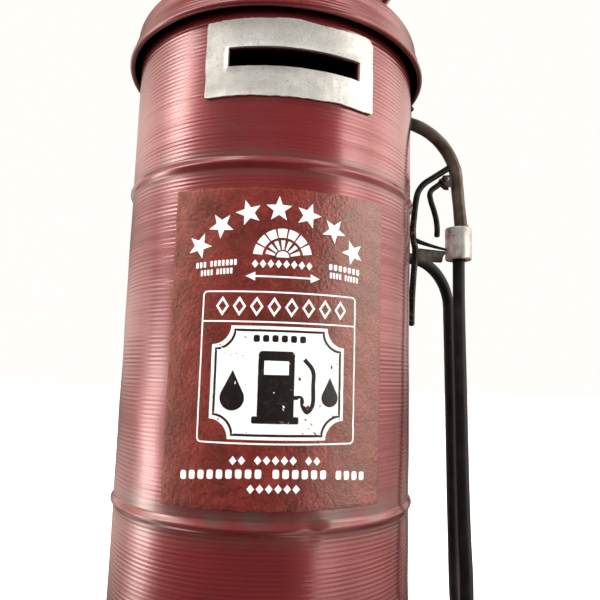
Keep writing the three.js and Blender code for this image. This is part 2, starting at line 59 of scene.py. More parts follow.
def limits(node):
    """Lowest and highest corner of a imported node, in millimetres."""
    low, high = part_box(node)
    return np.array(low) / MM, np.array(high) / MM


# ---------------------------------------------------------------- sizes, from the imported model
drum_low, drum_high = limits("drum")
label_low, label_high = limits("label_panel")
cap_low, cap_high = limits("cap")
foot_low, foot_high = limits("foot")
plate_low, plate_high = limits("slot_plate")
band_low, band_high = limits("globe_band")
bezel_low, bezel_high = limits("globe_bezel_front")
spout_low, spout_high = limits("spout_tube")
sleeve_low, sleeve_high = limits("nozzle_sleeve")
plug_low, plug_high = limits("coin_plug")
pad_high = limits("felt_pad")[1]
saddle_high = limits("globe_saddle")[1]
flange_low, flange_high = limits("spout_flange")

BEAD_H = 1.0
BEAD_W = 4.8
SHEET = 1.2
GAP = 0.3
BODY_R = drum_high[0] - BEAD_H
LABEL_OVER_BEAD, LABEL_UNDER_BEAD = 5.4, 8.6  # from the label's edges to the beads
LOW_BEAD = label_low[2] - LABEL_OVER_BEAD
HIGH_BEAD = label_high[2] + LABEL_UNDER_BEAD
BRIM = cap_low[2]
DOME_H = cap_high[2] - BRIM
CAP_R = cap_high[0]
HEM_R = 1.1
FOOT_R = foot_high[0]
COLLAR_TOP = foot_high[2]
GLOBE = (band_low[2] + band_high[2]) / 2
GLOBE_R = (band_high[2] - band_low[2]) / 2
GLOBE_HALF = (band_high[1] - band_low[1]) / 2
BEZEL_T = (bezel_high[2] - bezel_low[2]) / 2 - GLOBE_R
SPOUT_R = (spout_high[1] - spout_low[1]) / 2
SPOUT_Z = spout_high[2] - SPOUT_R
SLEEVE_R = (sleeve_high[1] - sleeve_low[1]) / 2
HOSE_R = 2.6
PORT = np.radians(108)  # way round to the hose's port, from the front
PORT_Z = 184.0
SLOT_X = np.array([-19.776, 24.539])  # ends of the coin slot, across
SLOT_UNDER_TOP = np.array([17.1, 10.2])  # its lower and upper edge, below the plate's top
SLOT_Z = plate_high[2] - SLOT_UNDER_TOP
SPOUT_HOLE = 4.2
PORT_HOLE = 4.2


# ---------------------------------------------------------------- skins
def skin(points, quads, tris=()):
    """One closed skin: its points, its four-sided and its three-sided faces, turned so that they face out.
    The volume is a sixth of the sum of the triple products of each face's triangles; if it is negative every
    face is turned round."""
    points = np.asarray(points, float).reshape(-1, 3)
    quads = np.asarray(quads, int).reshape(-1, 4)
    tris = np.asarray(tris, int).reshape(-1, 3)
    halves = np.vstack([quads[:, [0, 1, 2]], quads[:, [0, 2, 3]], tris])
    a, b, c = (points[halves[:, k]] - points.mean(0) for k in range(3))
    if np.einsum("ij,ij->i", a, np.cross(b, c)).sum() < 0:
        quads, tris = quads[:, ::-1], tris[:, ::-1]
    return points, quads, tris


def rings(grid, ends=True):
    """A skin over a grid of rings, each row closed on itself. With ends, the first and the last ring are closed by
    a fan to their middle; without, the last ring joins the first."""
    n, m = grid.shape[:2]
    at = np.arange(n * m).reshape(n, m)
    at = np.hstack([at, at[:, :1]])
    if not ends:
        at = np.vstack([at, at[:1]])
    quads = np.stack([at[:-1, :-1], at[1:, :-1], at[1:, 1:], at[:-1, 1:]], -1)
    if not ends:
        return skin(grid, quads)
    points = np.vstack([grid.reshape(-1, 3), grid[0].mean(0), grid[-1].mean(0)])
    first = np.stack([np.full(m, n * m), at[0, :-1], at[0, 1:]], -1)
    last = np.stack([np.full(m, n * m + 1), at[-1, 1:], at[-1, :-1]], -1)
    return skin(points, quads, np.vstack([first, last]))


def sheet(front, back, keep=None, around=False):
    """A skin over two facing grids of points: front's cells, back's cells turned round, and a wall along each edge
    between a cell that is kept and one that isn't. With around, the last column joins the first."""
    n, m = front.shape[:2]
    at = np.arange(n * m).reshape(n, m)
    if around:
        at = np.hstack([at, at[:, :1]])
    cells = np.stack([at[:-1, :-1], at[1:, :-1], at[1:, 1:], at[:-1, 1:]], -1)
    keep = np.ones(cells.shape[:2], bool) if keep is None else keep
    wide = np.pad(keep, 1)
    if around:
        wide[:, 0], wide[:, -1] = wide[:, -2], wide[:, 1]
    beside = [wide[1:-1, :-2], wide[2:, 1:-1], wide[1:-1, 2:], wide[:-2, 1:-1]]
    quads = [cells[keep], cells[keep][:, ::-1] + n * m]
    for k, other in enumerate(beside):
        a, b = (cells[keep & ~other][:, i] for i in (k, (k + 1) % 4))
        quads.append(np.stack([b, a, a + n * m, b + n * m], -1))
    return skin(np.vstack([front.reshape(-1, 3), back.reshape(-1, 3)]), np.vstack(quads))


def smooth(points, per_span=8):
    """Points on a curve through the given ones: each span is a cubic Hermite curve over the square root of its
    chord, and the slope at a point is that of the parabola through it and its neighbours."""
    p = np.asarray(points, float)
    knots = np.r_[0, np.cumsum(np.linalg.norm(np.diff(p, axis=0), axis=1) ** 0.5)]
    slope = np.gradient(p, knots, axis=0)
    step = np.diff(knots)[:, None, None]
    t = np.linspace(0, 1, per_span, endpoint=False)[:, None]
    curve = (
        (2 * t**3 - 3 * t**2 + 1) * p[:-1, None]
        + (t**3 - 2 * t**2 + t) * step * slope[:-1, None]
        + (3 * t**2 - 2 * t**3) * p[1:, None]
        + (t**3 - t**2) * step * slope[1:, None]
    )
    return np.vstack([curve.reshape(-1, p.shape[1]), p[-1:]])


def arc(r, z, radius, start, end, n):
    """Points (r, z) on an arc about a centre, from one angle to another in degrees."""
    turn = np.radians(np.linspace(start, end, n))
    return np.stack([r + radius * np.cos(turn), z + radius * np.sin(turn)], -1)


def lathe(profile, sides=96):
    """Rings of a profile of (radius, height) points turned about +Z: x = r sin a, y = -r cos a."""
    a = np.linspace(0, 2 * pi, sides, endpoint=False)
    r, z = np.asarray(profile, float).T
    return np.stack([np.outer(r, np.sin(a)), -np.outer(r, np.cos(a)), np.outer(z, np.ones(sides))], -1)


def swept(path, radius, sides=16, ends=3):
    """Rings of a round rod along a path. Each ring is radius times (cos a side + sin a up), where side starts
    square to the path and is carried along it by taking out its share along each new tangent. A rod's ends are
    half rounded: the last rings close in by the cosine as they go out by the sine."""
    path = np.asarray(path, float)
    radius = np.broadcast_to(np.asarray(radius, float), len(path))
    tangent = np.gradient(path, axis=0)
    tangent /= np.linalg.norm(tangent, axis=1)[:, None]
    side = np.empty_like(path)
    last = np.cross(tangent[0], [0.31, 0.93, 0.21])
    for i, t in enumerate(tangent):
        last = last - t * (last @ t)
        last /= np.linalg.norm(last)
        side[i] = last
    up = np.cross(tangent, side)
    turn = np.radians(np.linspace(75, 0, ends, endpoint=False)) if ends else np.zeros(0)
    head = path[0] - tangent[0] * radius[0] * 0.6 * np.sin(turn)[:, None]
    tail = path[-1] + tangent[-1] * radius[-1] * 0.6 * np.sin(turn[::-1])[:, None]
    centre = np.vstack([head, path, tail])
    r = np.r_[radius[0] * np.cos(turn), radius, radius[-1] * np.cos(turn[::-1])]
    side = np.vstack([np.tile(side[0], (ends, 1)), side, np.tile(side[-1], (ends, 1))])
    up = np.vstack([np.tile(up[0], (ends, 1)), up, np.tile(up[-1], (ends, 1))])
    a = np.linspace(0, 2 * pi, sides, endpoint=False)[None, :, None]
    return centre[:, None] + r[:, None, None] * (np.cos(a) * side[:, None] + np.sin(a) * up[:, None])


def unevenness(x, y, size, seed, terms=20):
    """Smooth seeded unevenness, about -1 to 1: the mean of sine waves of random directions and phases whose
    lengths are about size."""
    random = np.random.default_rng(seed)
    way = random.uniform(0, 2 * pi, terms)
    phase = random.uniform(0, 2 * pi, terms)
    count = 2 * pi / size * random.uniform(0.5, 1.8, terms)
    x, y = np.broadcast_arrays(np.asarray(x, float), np.asarray(y, float))
    waves = np.sin(count * (x[..., None] * np.cos(way) + y[..., None] * np.sin(way)) + phase)
    return waves.sum(-1) / np.sqrt(terms)


def hump(x, middle, width):
    """A bell: 1 at the middle and 0.37 at one width from it."""
    return np.exp(-(((x - middle) / width) ** 2))


def on_drum(arc_mm, z, radius):
    """Places on a cylinder round the drum's axis: arc_mm is the way round from the front, measured on the drum's
    own side, so the angle is arc_mm / BODY_R."""
    arc_mm, z, radius = np.broadcast_arrays(arc_mm, z, radius)
    a = arc_mm / BODY_R
    return np.stack([radius * np.sin(a), -radius * np.cos(a), z], -1)


def way_round(p):
    """Way round the drum's side of places, in millimetres from the front."""
    return np.arctan2(p[:, 0], -p[:, 1]) * BODY_R


def beside(ahead):
    """Unit directions square to the given flat ones, to their left."""
    ahead = ahead / np.linalg.norm(ahead, axis=1)[:, None]
    return np.stack([-ahead[:, 1], ahead[:, 0]], -1)


def degrees_round(angle):
    """Way round the drum's side, in millimetres, of an angle in degrees."""
    return np.radians(angle) * BODY_R


def rounded(x, y, half_x, half_y, r):
    """Moves points of a rectangle about the origin so that its corners are rounded: inside each corner's square of
    side r, a point keeps its direction from the square's inner corner and the square's edge becomes an arc."""
    dx, dy = np.maximum(abs(x) - (half_x - r), 0), np.maximum(abs(y) - (half_y - r), 0)
    away = np.hypot(dx, dy)
    shrink = np.where(away > 0, np.maximum(dx, dy) / np.where(away > 0, away, 1), 1)
    corner = (dx > 0) & (dy > 0)
    return (
        np.where(corner, np.sign(x) * (half_x - r + dx * shrink), x),
        np.where(corner, np.sign(y) * (half_y - r + dy * shrink), y),
    )


# ---------------------------------------------------------------- materials
def linear(colour):
    """Linear RGBA of an sRGB hex colour."""
    c = np.array([int(colour[i : i + 2], 16) for i in (1, 3, 5)]) / 255
    c = np.where(c <= 0.04045, c / 12.92, ((c + 0.055) / 1.055) ** 2.4)
    return (*c.tolist(), 1.0)


def add(tree, kind, *values, out=None, stops=(), **named):
    """Adds a node and returns one of its outputs, the first live one unless out names another. The values go to its
    live sockets in turn and the capitalised names to the sockets they name: each is a constant, an sRGB hex or
    another node's output. Names in small letters are the node's settings, and stops a ramp's places and colours."""
    made = tree.nodes.new("ShaderNode" + kind)
    for key in [key for key in named if key.islower()]:
        setattr(made, key, named.pop(key))
    live = [socket for socket in made.inputs if socket.enabled]
    for socket, value in [*zip(live, values), *((made.inputs[key], value) for key, value in named.items())]:
        if isinstance(value, bpy.types.NodeSocket):
            tree.links.new(value, socket)
        else:
            socket.default_value = linear(value) if isinstance(value, str) else value
    for _ in stops[2:]:
        made.color_ramp.elements.new(0.5)
    for place, (at, colour) in enumerate(stops):
        band = made.color_ramp.elements[place]
        band.position, band.color = at, linear(colour) if isinstance(colour, str) else (*colour, 1)
    return made.outputs[out] if out else next(socket for socket in made.outputs if socket.enabled)


def per(size_mm):
    """The scale of a pattern whose patches are about size_mm across."""
    return 1 / (size_mm * MM)


def finish(name, build, **shader):
    """A material: build gets its tree and its object coordinates, and returns the shader's linked sockets. The
    shader's constant values are given by name."""
    made = bpy.data.materials.new(name)
    made.use_nodes = True
    tree = made.node_tree
    shading = tree.nodes["Principled BSDF"]
    for key, value in shader.items():
        shading.inputs[key.replace("_", " ")].default_value = value
    for key, value in build(tree, add(tree, "TexCoord", out="Object")).items():
        tree.links.new(value, shading.inputs[key])
    return made


# settings of the nodes that most finishes use
SMOOTH = {"interpolation_type": "SMOOTHSTEP"}
TIMES = {"operation": "MULTIPLY"}
TIMES_PLUS = {"operation": "MULTIPLY_ADD"}
COLOURS = {"data_type": "RGBA"}
TURNING = 1.45  # mm between the lines left by turning


def crimson_tin(tree, where, turned=1.0):
    """Rolled tinplate under sprayed crimson metallic paint: fine turning lines, as deep as turned says, a smoky
    brown haze where the attribute haze says, painted shade in near black where the second attribute says, and darker,
    duller paint in soft patches."""
    level = add(tree, "VectorMath", where, (0, 0, 1), **TIMES)
    lines = add(tree, "TexNoise", level, per(0.9), 2.0, 0.6)
    swells = add(tree, "TexNoise", level, per(5.0), 2.0, 0.5)
    patches = add(tree, "TexNoise", where, per(30.0), 3.0, 0.5)
    grain = add(tree, "TexNoise", where, per(0.6), 2.0, 0.5)
    cloud = add(tree, "TexNoise", where, per(7.0), 4.0, 0.6)
    haze = add(tree, "Attribute", attribute_name="haze", out="Fac")
    # painted shade: near black inside the sheet and a painted shadow where the drum goes under the cap's brim
    painted_shade = add(tree, "Attribute", attribute_name="painted_shade", out="Fac")
    cover = add(tree, "Math", haze, add(tree, "MapRange", cloud, 0.25, 0.7, 0.35, 1.0, **SMOOTH), **TIMES)
    paint = add(tree, "ValToRGB", patches, stops=[(0.3, "#74262a"), (0.55, "#7f292c"), (0.8, "#8a2f31")])
    dull = add(tree, "MapRange", lines, 0.3, 0.7, 0.0, 0.16, **SMOOTH)
    paint = add(tree, "Mix", dull, paint, "#5f1c20", **COLOURS)
    colour = add(tree, "Mix", cover, paint, "#5c4640", **COLOURS)
    # the painted shade is mixed in as near black
    colour = add(tree, "Mix", painted_shade, colour, "#0b0807", **COLOURS)
    rough = add(tree, "MapRange", lines, 0.3, 0.7, 0.22, 0.30, **SMOOTH)
    rough = add(tree, "Math", cover, 0.15, rough, **TIMES_PLUS)
    drift = add(tree, "VectorMath", where, (0.25, 0.25, 1.0), **TIMES)
    phase = add(tree, "Math", add(tree, "TexNoise", drift, per(14.0), 2.0, 0.5), 6.0, **TIMES)
    up = add(tree, "SeparateXYZ", where, out="Z")
    turns = add(tree, "Math", up, 2 * pi / (TURNING * MM), phase, **TIMES_PLUS)
    depth = add(tree, "MapRange", swells, 0.35, 0.65, 0.10, 0.50, **SMOOTH)
    height = add(tree, "Math", swells, lines)
    height = add(tree, "Math", add(tree, "Math", turns, operation="SINE"), depth, height, **TIMES_PLUS)
    sprayed = add(tree, "Math", cloud, 4.0, grain, **TIMES_PLUS)
    under = add(tree, "Bump", Height=sprayed, Distance=0.015 * MM, Strength=0.5)
    normal = add(tree, "Bump", Height=height, Distance=0.05 * MM, Strength=turned, Normal=under)
    return {"Base Color": colour, "Roughness": rough, "Normal": normal, "Coat Normal": normal}


def rust_print(tree, where):
    """Printed paper varnished onto the drum: rust red mottled with dark brown, under a leathery skin. The varnish
    lies thicker and smoother towards the nozzle."""
    clouds = add(tree, "TexNoise", where, per(9.0), 6.0, 0.68)
    flecks = add(tree, "TexNoise", where, per(1.0), 4.0, 0.75)
    dark = add(tree, "TexNoise", where, per(16.0), 5.0, 0.62, Distortion=0.6)
    pebble = add(tree, "TexNoise", where, per(1.1), 4.0, 0.62)
    colour = add(tree, "ValToRGB", clouds,
                 stops=[(0.3, "#481614"), (0.45, "#601d1b"), (0.56, "#6f2522"), (0.72, "#84342e")])
    for pattern, start, end, most, tone in (
        (dark, 0.5, 0.68, 0.25, "#4a1912"),
        (flecks, 0.57, 0.7, 0.45, "#9c4c40"),
        (flecks, 0.47, 0.36, 0.65, "#340f0e"),
    ):
        share = add(tree, "MapRange", pattern, start, end, 0.0, most, **SMOOTH)
        colour = add(tree, "Mix", share, colour, tone, **COLOURS)
    across = add(tree, "SeparateXYZ", where, out="X")
    gloss = add(tree, "MapRange", across, -0.010, 0.030, 1.0, 0.45, **SMOOTH)
    rough = add(tree, "Math", add(tree, "MapRange", clouds, 0.3, 0.7, 0.5, 0.36, **SMOOTH), gloss, **TIMES)
    varnish = add(tree, "MapRange", across, -0.030, 0.025, 0.1, 1.0, **SMOOTH)
    leather = add(tree, "Bump", Height=pebble, Distance=0.3 * MM)
    return {"Base Color": colour, "Roughness": rough, "Normal": leather, "Coat Normal": leather,
            "Coat Weight": varnish}


def white_print(tree, where):
    """White ink on the varnished paper, a little rubbed so that the rust shows through at pin pricks."""
    wide = add(tree, "TexNoise", where, per(9.0), 3.0, 0.6)
    worn = add(tree, "TexNoise", where, per(1.1), 4.0, 0.75)
    pebble = add(tree, "TexNoise", where, per(0.8), 3.0, 0.6)
    colour = add(tree, "Mix", add(tree, "MapRange", wide, 0.35, 0.7, **SMOOTH), "#f6f5f3", "#e6e2de", **COLOURS)
    pricks = add(tree, "MapRange", worn, 0.64, 0.72, 0.0, 0.55, **SMOOTH)
    colour = add(tree, "Mix", pricks, colour, "#8f5a4c", **COLOURS)
    return {"Base Color": colour, "Normal": add(tree, "Bump", Height=pebble, Distance=0.08 * MM, Strength=0.8)}


def black_print(tree, where):
    """Black ink, slightly grey where the varnish is thin."""
    worn = add(tree, "TexNoise", where, per(2.2), 4.0, 0.7)
    pebble = add(tree, "TexNoise", where, per(0.8), 3.0, 0.6)
    grey = add(tree, "MapRange", worn, 0.5, 0.75, 0.0, 0.5, **SMOOTH)
    colour = add(tree, "Mix", grey, "#14100f", "#3b302d", **COLOURS)
    return {"Base Color": colour, "Normal": add(tree, "Bump", Height=pebble, Distance=0.08 * MM, Strength=0.8)}


def brushed_pewter(tree, where):
    """Cut pewter-coloured sheet, rubbed by hand: fine level scratches, grey clouds, and small dark pits."""
    drawn = add(tree, "VectorMath", where, (1, 1, 9), **TIMES)
    scratches = add(tree, "TexNoise", drawn, per(3.0), 4.0, 0.7)
    clouds = add(tree, "TexNoise", where, per(11.0), 5.0, 0.65)
    specks = add(tree, "TexNoise", where, per(0.9), 4.0, 0.75)
    colour = add(tree, "ValToRGB", clouds, stops=[(0.28, "#cbc8c1"), (0.5, "#dcdad4"), (0.72, "#efeeea")])
    for start, end, most, tone in ((0.5, 0.62, 0.35, "#a39e93"), (0.64, 0.74, 0.6, "#5f5a52")):
        share = add(tree, "MapRange", specks, start, end, 0.0, most, **SMOOTH)
        colour = add(tree, "Mix", share, colour, tone, **COLOURS)
    rough = add(tree, "MapRange", scratches, 0.3, 0.7, 0.34, 0.55, **SMOOTH)
    height = add(tree, "Math", specks, 0.6, scratches, **TIMES_PLUS)
    normal = add(tree, "Bump", Height=height, Distance=0.08 * MM, Strength=0.8)
    return {"Base Color": colour, "Roughness": rough, "Normal": normal}


def handled_metal(patch, rough, stops, pits, depth):
    def build(tree, where):
        clouds = add(tree, "TexNoise", where, per(patch[0]), *patch[1:])
        grit = add(tree, "TexNoise", where, per(pits[0]), *pits[1:])
        colour = add(tree, "ValToRGB", clouds, stops=stops)
        rubbed = add(tree, "MapRange", clouds, *rough, **SMOOTH)
        normal = add(tree, "Bump", Height=grit, Distance=depth * MM, Strength=0.7)
        return {"Base Color": colour, "Roughness": rubbed, "Normal": normal}
    return build


# browned metal tube: nearly black with brown clouds, rubbed bright in places
browned_bronze = handled_metal(
    (12.0, 3.0, 0.55), (0.3, 0.75, 0.42, 0.26),
    [(0.3, "#2d2723"), (0.5, "#4c433b"), (0.66, "#6b6056"), (0.82, "#877b6f")], (0.8, 3.0, 0.6), 0.04)
# iron wire in thin black paint, rubbed grey in small patches
black_iron = handled_metal(
    (3.0, 5.0, 0.7), (0.3, 0.8, 0.32, 0.22),
    [(0.36, "#131110"), (0.58, "#2b2826"), (0.74, "#706a64")], (0.6, 3.0, 0.6), 0.03)


def rubbed_sleeve(tree, where):
    """Bright plated sleeve, dulled brown where the plating has worn, with fine scratches."""
    wear = add(tree, "TexNoise", where, per(4.5), 5.0, 0.65)
    fine = add(tree, "TexNoise", where, per(0.7), 3.0, 0.7)
    colour = add(tree, "ValToRGB", wear, stops=[(0.3, "#8f877b"), (0.46, "#c3beb5"), (0.7, "#ebe8e2")])
    rough = add(tree, "MapRange", wear, 0.3, 0.7, 0.42, 0.28, **SMOOTH)
    normal = add(tree, "Bump", Height=add(tree, "Math", fine, wear), Distance=0.1 * MM, Strength=0.8)
    return {"Base Color": colour, "Roughness": rough, "Normal": normal}


def rubbed_steel(tree, where):
    """Bare steel, ground and handled: light metal with brown-grey smudges."""
    smudge = add(tree, "TexNoise", where, per(4.0), 5.0, 0.65)
    grit = add(tree, "TexNoise", where, per(0.7), 3.0, 0.7)
    colour = add(tree, "ValToRGB", smudge, stops=[(0.3, "#5d574f"), (0.55, "#8f8a82"), (0.75, "#b5b1aa")])
    rough = add(tree, "MapRange", grit, 0.3, 0.7, 0.3, 0.46, **SMOOTH)
    return {"Base Color": colour, "Roughness": rough,
            "Normal": add(tree, "Bump", Height=grit, Distance=0.03 * MM, Strength=0.7)}


def black_rubber(tree, where):
    """Moulded black rubber tube with a faint bloom."""
    bloom = add(tree, "TexNoise", where, per(12.0), 4.0, 0.6)
    grain = add(tree, "TexNoise", where, per(0.7), 2.0, 0.5)
    colour = add(tree, "Mix", add(tree, "MapRange", bloom, 0.35, 0.75, **SMOOTH), "#0e0d0d", "#201d1e", **COLOURS)
    rough = add(tree, "MapRange", bloom, 0.3, 0.7, 0.44, 0.56, **SMOOTH)
    return {"Base Color": colour, "Roughness": rough,
            "Normal": add(tree, "Bump", Height=grain, Distance=0.02 * MM, Strength=0.6)}


def pressed_felt(tree, where):
    """Pressed wool felt, charcoal, with short fibres lying every way."""
    fibres = add(tree, "TexNoise", where, per(0.7), 5.0, 0.8, Distortion=1.5)
    colour = add(tree, "Mix", add(tree, "MapRange", fibres, 0.3, 0.75, **SMOOTH), "#1f1e1d", "#4b4946", **COLOURS)
    return {"Base Color": colour, "Normal": add(tree, "Bump", Height=fibres, Distance=0.25 * MM, Strength=0.9)}


def cream_enamel(tree, where):
    """Cream enamel on the globe's faces: milky, slightly yellowed in clouds, with brown dust specks."""
    clouds = add(tree, "TexNoise", where, per(25.0), 4.0, 0.6)
    specks = add(tree, "TexNoise", where, per(1.2), 4.0, 0.75)
    colour = add(tree, "ValToRGB", clouds, stops=[(0.3, "#d8cba9"), (0.55, "#e6dcc2"), (0.8, "#eee7d3")])
    dust = add(tree, "MapRange", specks, 0.66, 0.76, 0.0, 0.6, **SMOOTH)
    colour = add(tree, "Mix", dust, colour, "#8c6d4e", **COLOURS)
    rough = add(tree, "MapRange", clouds, 0.3, 0.7, 0.3, 0.4, **SMOOTH)
    return {"Base Color": colour, "Roughness": rough,
            "Normal": add(tree, "Bump", Height=clouds, Distance=0.2 * MM, Strength=0.4)}


def floor_white(tree, where):
    """Plain pale studio floor: matt white with the faintest mottle, which casts little of itself on the object."""
    mottle = add(tree, "TexNoise", where, per(60.0), 3.0, 0.5)
    pale = add(tree, "Mix", mottle, "#f6f5f1", "#fbfaf7", **COLOURS)
    seen = add(tree, "LightPath", out="Is Camera Ray")
    colour = add(tree, "Mix", seen, "#77736e", pale, **COLOURS)
    return {"Base Color": colour, "Emission Strength": add(tree, "Math", seen, 0.6, **TIMES)}


PAINT = finish("crimson_painted_tinplate", crimson_tin, Metallic=0.42, Coat_Weight=1.0, Coat_Roughness=0.12)
GLOBE_PAINT = finish("crimson_sprayed_globe", lambda tree, where: crimson_tin(tree, where, 0.0), Metallic=0.42,
                     Coat_Weight=1.0, Coat_Roughness=0.15)
RUST_PRINT = finish("varnished_rust_print", rust_print, Coat_Roughness=0.12, Specular_IOR_Level=0.8,
                    Specular_Tint=linear("#ffd8bc"))
WHITE_INK = finish("white_ink_print", white_print, Roughness=0.48)
BLACK_INK = finish("black_ink_print", black_print, Roughness=0.45)
PEWTER = finish("brushed_pewter_sheet", brushed_pewter, Metallic=0.62)
SLEEVE = finish("worn_plated_sleeve", rubbed_sleeve, Metallic=0.7)
BRONZE = finish("browned_bronze_tube", browned_bronze, Metallic=0.6)
IRON = finish("black_painted_iron", black_iron, Metallic=0.6)
STEEL = finish("rubbed_steel", rubbed_steel, Metallic=1.0)
RUBBER = finish("black_moulded_rubber", black_rubber, Specular_IOR_Level=0.3)
FELT = finish("pressed_wool_felt", pressed_felt, Roughness=0.95, Sheen_Weight=0.3)
ENAMEL = finish("cream_enamel", cream_enamel, Coat_Weight=0.3)
FLOOR = finish("pale_studio_floor", floor_white, Roughness=0.9, Emission_Color=(1, 1, 1, 1))


# ---------------------------------------------------------------- pieces
def piece(name, skins, material, node=(), body="bank", sharp=40, haze=None, painted_shade=None):
    """One object from closed skins in millimetres, written in metres, riding on a body and standing for CAD nodes.
    Edges sharper than the given angle stay crisp. haze gives the smoky film at each point and the cover after it the
    painted shade: near black inside the sheet and a painted shadow under the cap's brim, each 0 to 1."""
    offset, points, quads, tris = 0, [], [], []
    for p, q, t in skins:
        points.append(p)
        quads.append(q + offset)
        tris.append(t + offset)
        offset += len(p)
    points = np.vstack(points)
    mesh = bpy.data.meshes.new(name)
    faces = np.vstack(quads).tolist() + np.vstack(tris).tolist()
    mesh.from_pydata((points * MM).tolist(), [], faces)
    mesh.shade_smooth()
    mesh.set_sharp_from_angle(angle=np.radians(sharp))
    # the second attribute is painted shade
    for key, cover in (("haze", haze), ("painted_shade", painted_shade)):
        if cover is not None:
            film = mesh.attributes.new(key, "FLOAT", "POINT")
            film.data.foreach_set("value", np.clip(cover(points), 0, 1).astype(np.float32))
    mesh.materials.append(material)
    mesh.update()
    made = bpy.data.objects.new(name, mesh)
    bpy.context.scene.collection.objects.link(made)
    if body is not None:
        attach(made, body)
    if node:
        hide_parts(*((node,) if isinstance(node, str) else node))
    return made


# ---------------------------------------------------------------- camera
YAW, PITCH, ROLL = 0.11563, 0.125, 0.0286
EYE = np.array([-14.85, -236.03, 129.476])
LENS, SENSOR = 34.4342, 36.0


def look():
    """The camera's right, up and back directions: yaw turns it from +Y towards +X, pitch lifts it, roll turns it
    about its own line of sight."""
    ahead = np.array([np.sin(YAW) * np.cos(PITCH), np.cos(YAW) * np.cos(PITCH), np.sin(PITCH)])
    level = np.array([np.cos(YAW), -np.sin(YAW), 0])
    upright = np.cross(level, ahead)
    right = np.cos(ROLL) * level + np.sin(ROLL) * upright
    return right, np.cross(right, ahead), -ahead


camera = bpy.data.objects.new("camera", bpy.data.cameras.new("camera"))
bpy.context.scene.collection.objects.link(camera)
camera.data.sensor_width = SENSOR
camera.data.lens = LENS
camera.data.clip_start = 0.01
turn = np.eye(4)
turn[:3, :3] = np.stack(look(), -1)
turn[:3, 3] = EYE * MM
camera.matrix_world = Matrix(turn.tolist())
bpy.context.scene.camera = camera

# ---------------------------------------------------------------- hose
HOSE_LINE = np.array([
    [58.97, 19.16, 184.0], [62.8, 20.4, 184.0], [67.0, 21.8, 183.9], [74.1, 24.1, 182.7], [80.4, 26.1, 178.9],
    [85.1, 27.7, 173.0], [87.6, 28.5, 165.8], [88.1, 28.7, 156.0], [88.5, 28.9, 142.0], [89.2, 29.6, 118.0],
    [89.9, 30.5, 95.0], [90.6, 31.4, 72.0], [91.4, 32.3, 52.0], [91.5, 32.1, 42.0], [90.2, 27.6, 31.0],
    [87.7, 18.8, 23.4], [84.6, 8.6, 21.2], [81.5, -2.0, 23.6], [79.0, -10.6, 31.4], [77.8, -15.0, 42.5],
    [77.6, -15.4, 54.0], [77.7, -13.6, 68.0], [78.0, -11.8, 84.0], [78.6, -9.5, 102.0], [79.4, -6.8, 121.0],
    [80.2, -4.0, 141.0], [81.0, -1.4, 160.0], [81.5, -0.2, 172.0], [81.6, 0.0, 179.3],
])
hose_path = smooth(HOSE_LINE, 10)
hose = piece("rubber_hose", [rings(swept(hose_path, HOSE_R * 0.99, 20))], RUBBER, "hose", None)
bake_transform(hose)


# ---------------------------------------------------------------- drum
def bead_rise(z):
    """How far the drum stands out at a height: each bead is a squared cosine across its width."""
    away = np.stack([np.clip((z - bead) / BEAD_W, -0.5, 0.5) for bead in (LOW_BEAD, HIGH_BEAD)])
    return (BEAD_H * np.cos(pi * away) ** 2).sum(0)


def both_sides(middle, half):
    """The two places that lie half away from the middle."""
    return middle + np.array([-half, half])


slot_at = np.arcsin(SLOT_X / BODY_R)
spout_at = both_sides(pi / 2, SPOUT_HOLE / BODY_R)
port_at = both_sides(PORT, PORT_HOLE / BODY_R)
drum_turns = np.r_[np.linspace(-pi, pi, 180, endpoint=False), slot_at, spout_at, port_at]
drum_turns = np.unique(np.round(drum_turns, 5))
bead_levels = np.linspace(-0.5, 0.5, 13) * BEAD_W
drum_levels = np.unique(np.round(np.r_[
    np.linspace(drum_low[2], drum_high[2], 90),
    LOW_BEAD + bead_levels,
    HIGH_BEAD + bead_levels,
    SLOT_Z,
    both_sides(SPOUT_Z, SPOUT_HOLE),
    both_sides(PORT_Z, PORT_HOLE),
], 3))
a, z = np.meshgrid(drum_turns, drum_levels)
way = a * BODY_R
rise = bead_rise(z)
# a dent in the lower bead with the metal pushed up beside it, the unevenness of rolling, and the back seam
dent = 0.55 * hump(way, 11.5, 2.6) * hump(z, LOW_BEAD, 2.4) - 0.22 * hump(way, 16.5, 3.5) * hump(z, LOW_BEAD, 3.0)
hand = 0.10 * unevenness(np.cos(a) * 40, z + np.sin(a) * 40, 45, 3)
SEAM_RISE, SEAM_HALF, SEAM_EDGE = 0.45, 3.2, 0.8
seam = SEAM_RISE * np.clip((SEAM_HALF - abs(abs(way) - pi * BODY_R)) / SEAM_EDGE, 0, 1)
outside = BODY_R - 0.12 + rise + hand - dent + seam
drum_front = on_drum(way, z, outside)
drum_back = on_drum(way, z, BODY_R - SHEET + rise - 0.1)


def within(values, low, high):
    """Which cells between neighbouring grid values lie between two limits."""
    middle = (values + np.r_[values[1:], 2 * values[-1] - values[-2]]) / 2
    return (middle > low) & (middle < high)


def hole(turn_limits, level_limits):
    """Cells of the drum's grid inside a four-sided hole."""
    return np.outer(within(drum_levels, *level_limits)[:-1], within(drum_turns, *turn_limits))


drum_keep = ~(
    hole(slot_at, SLOT_Z)
    | hole(spout_at, both_sides(SPOUT_Z, SPOUT_HOLE))
    | hole(port_at, both_sides(PORT_Z, PORT_HOLE))
)


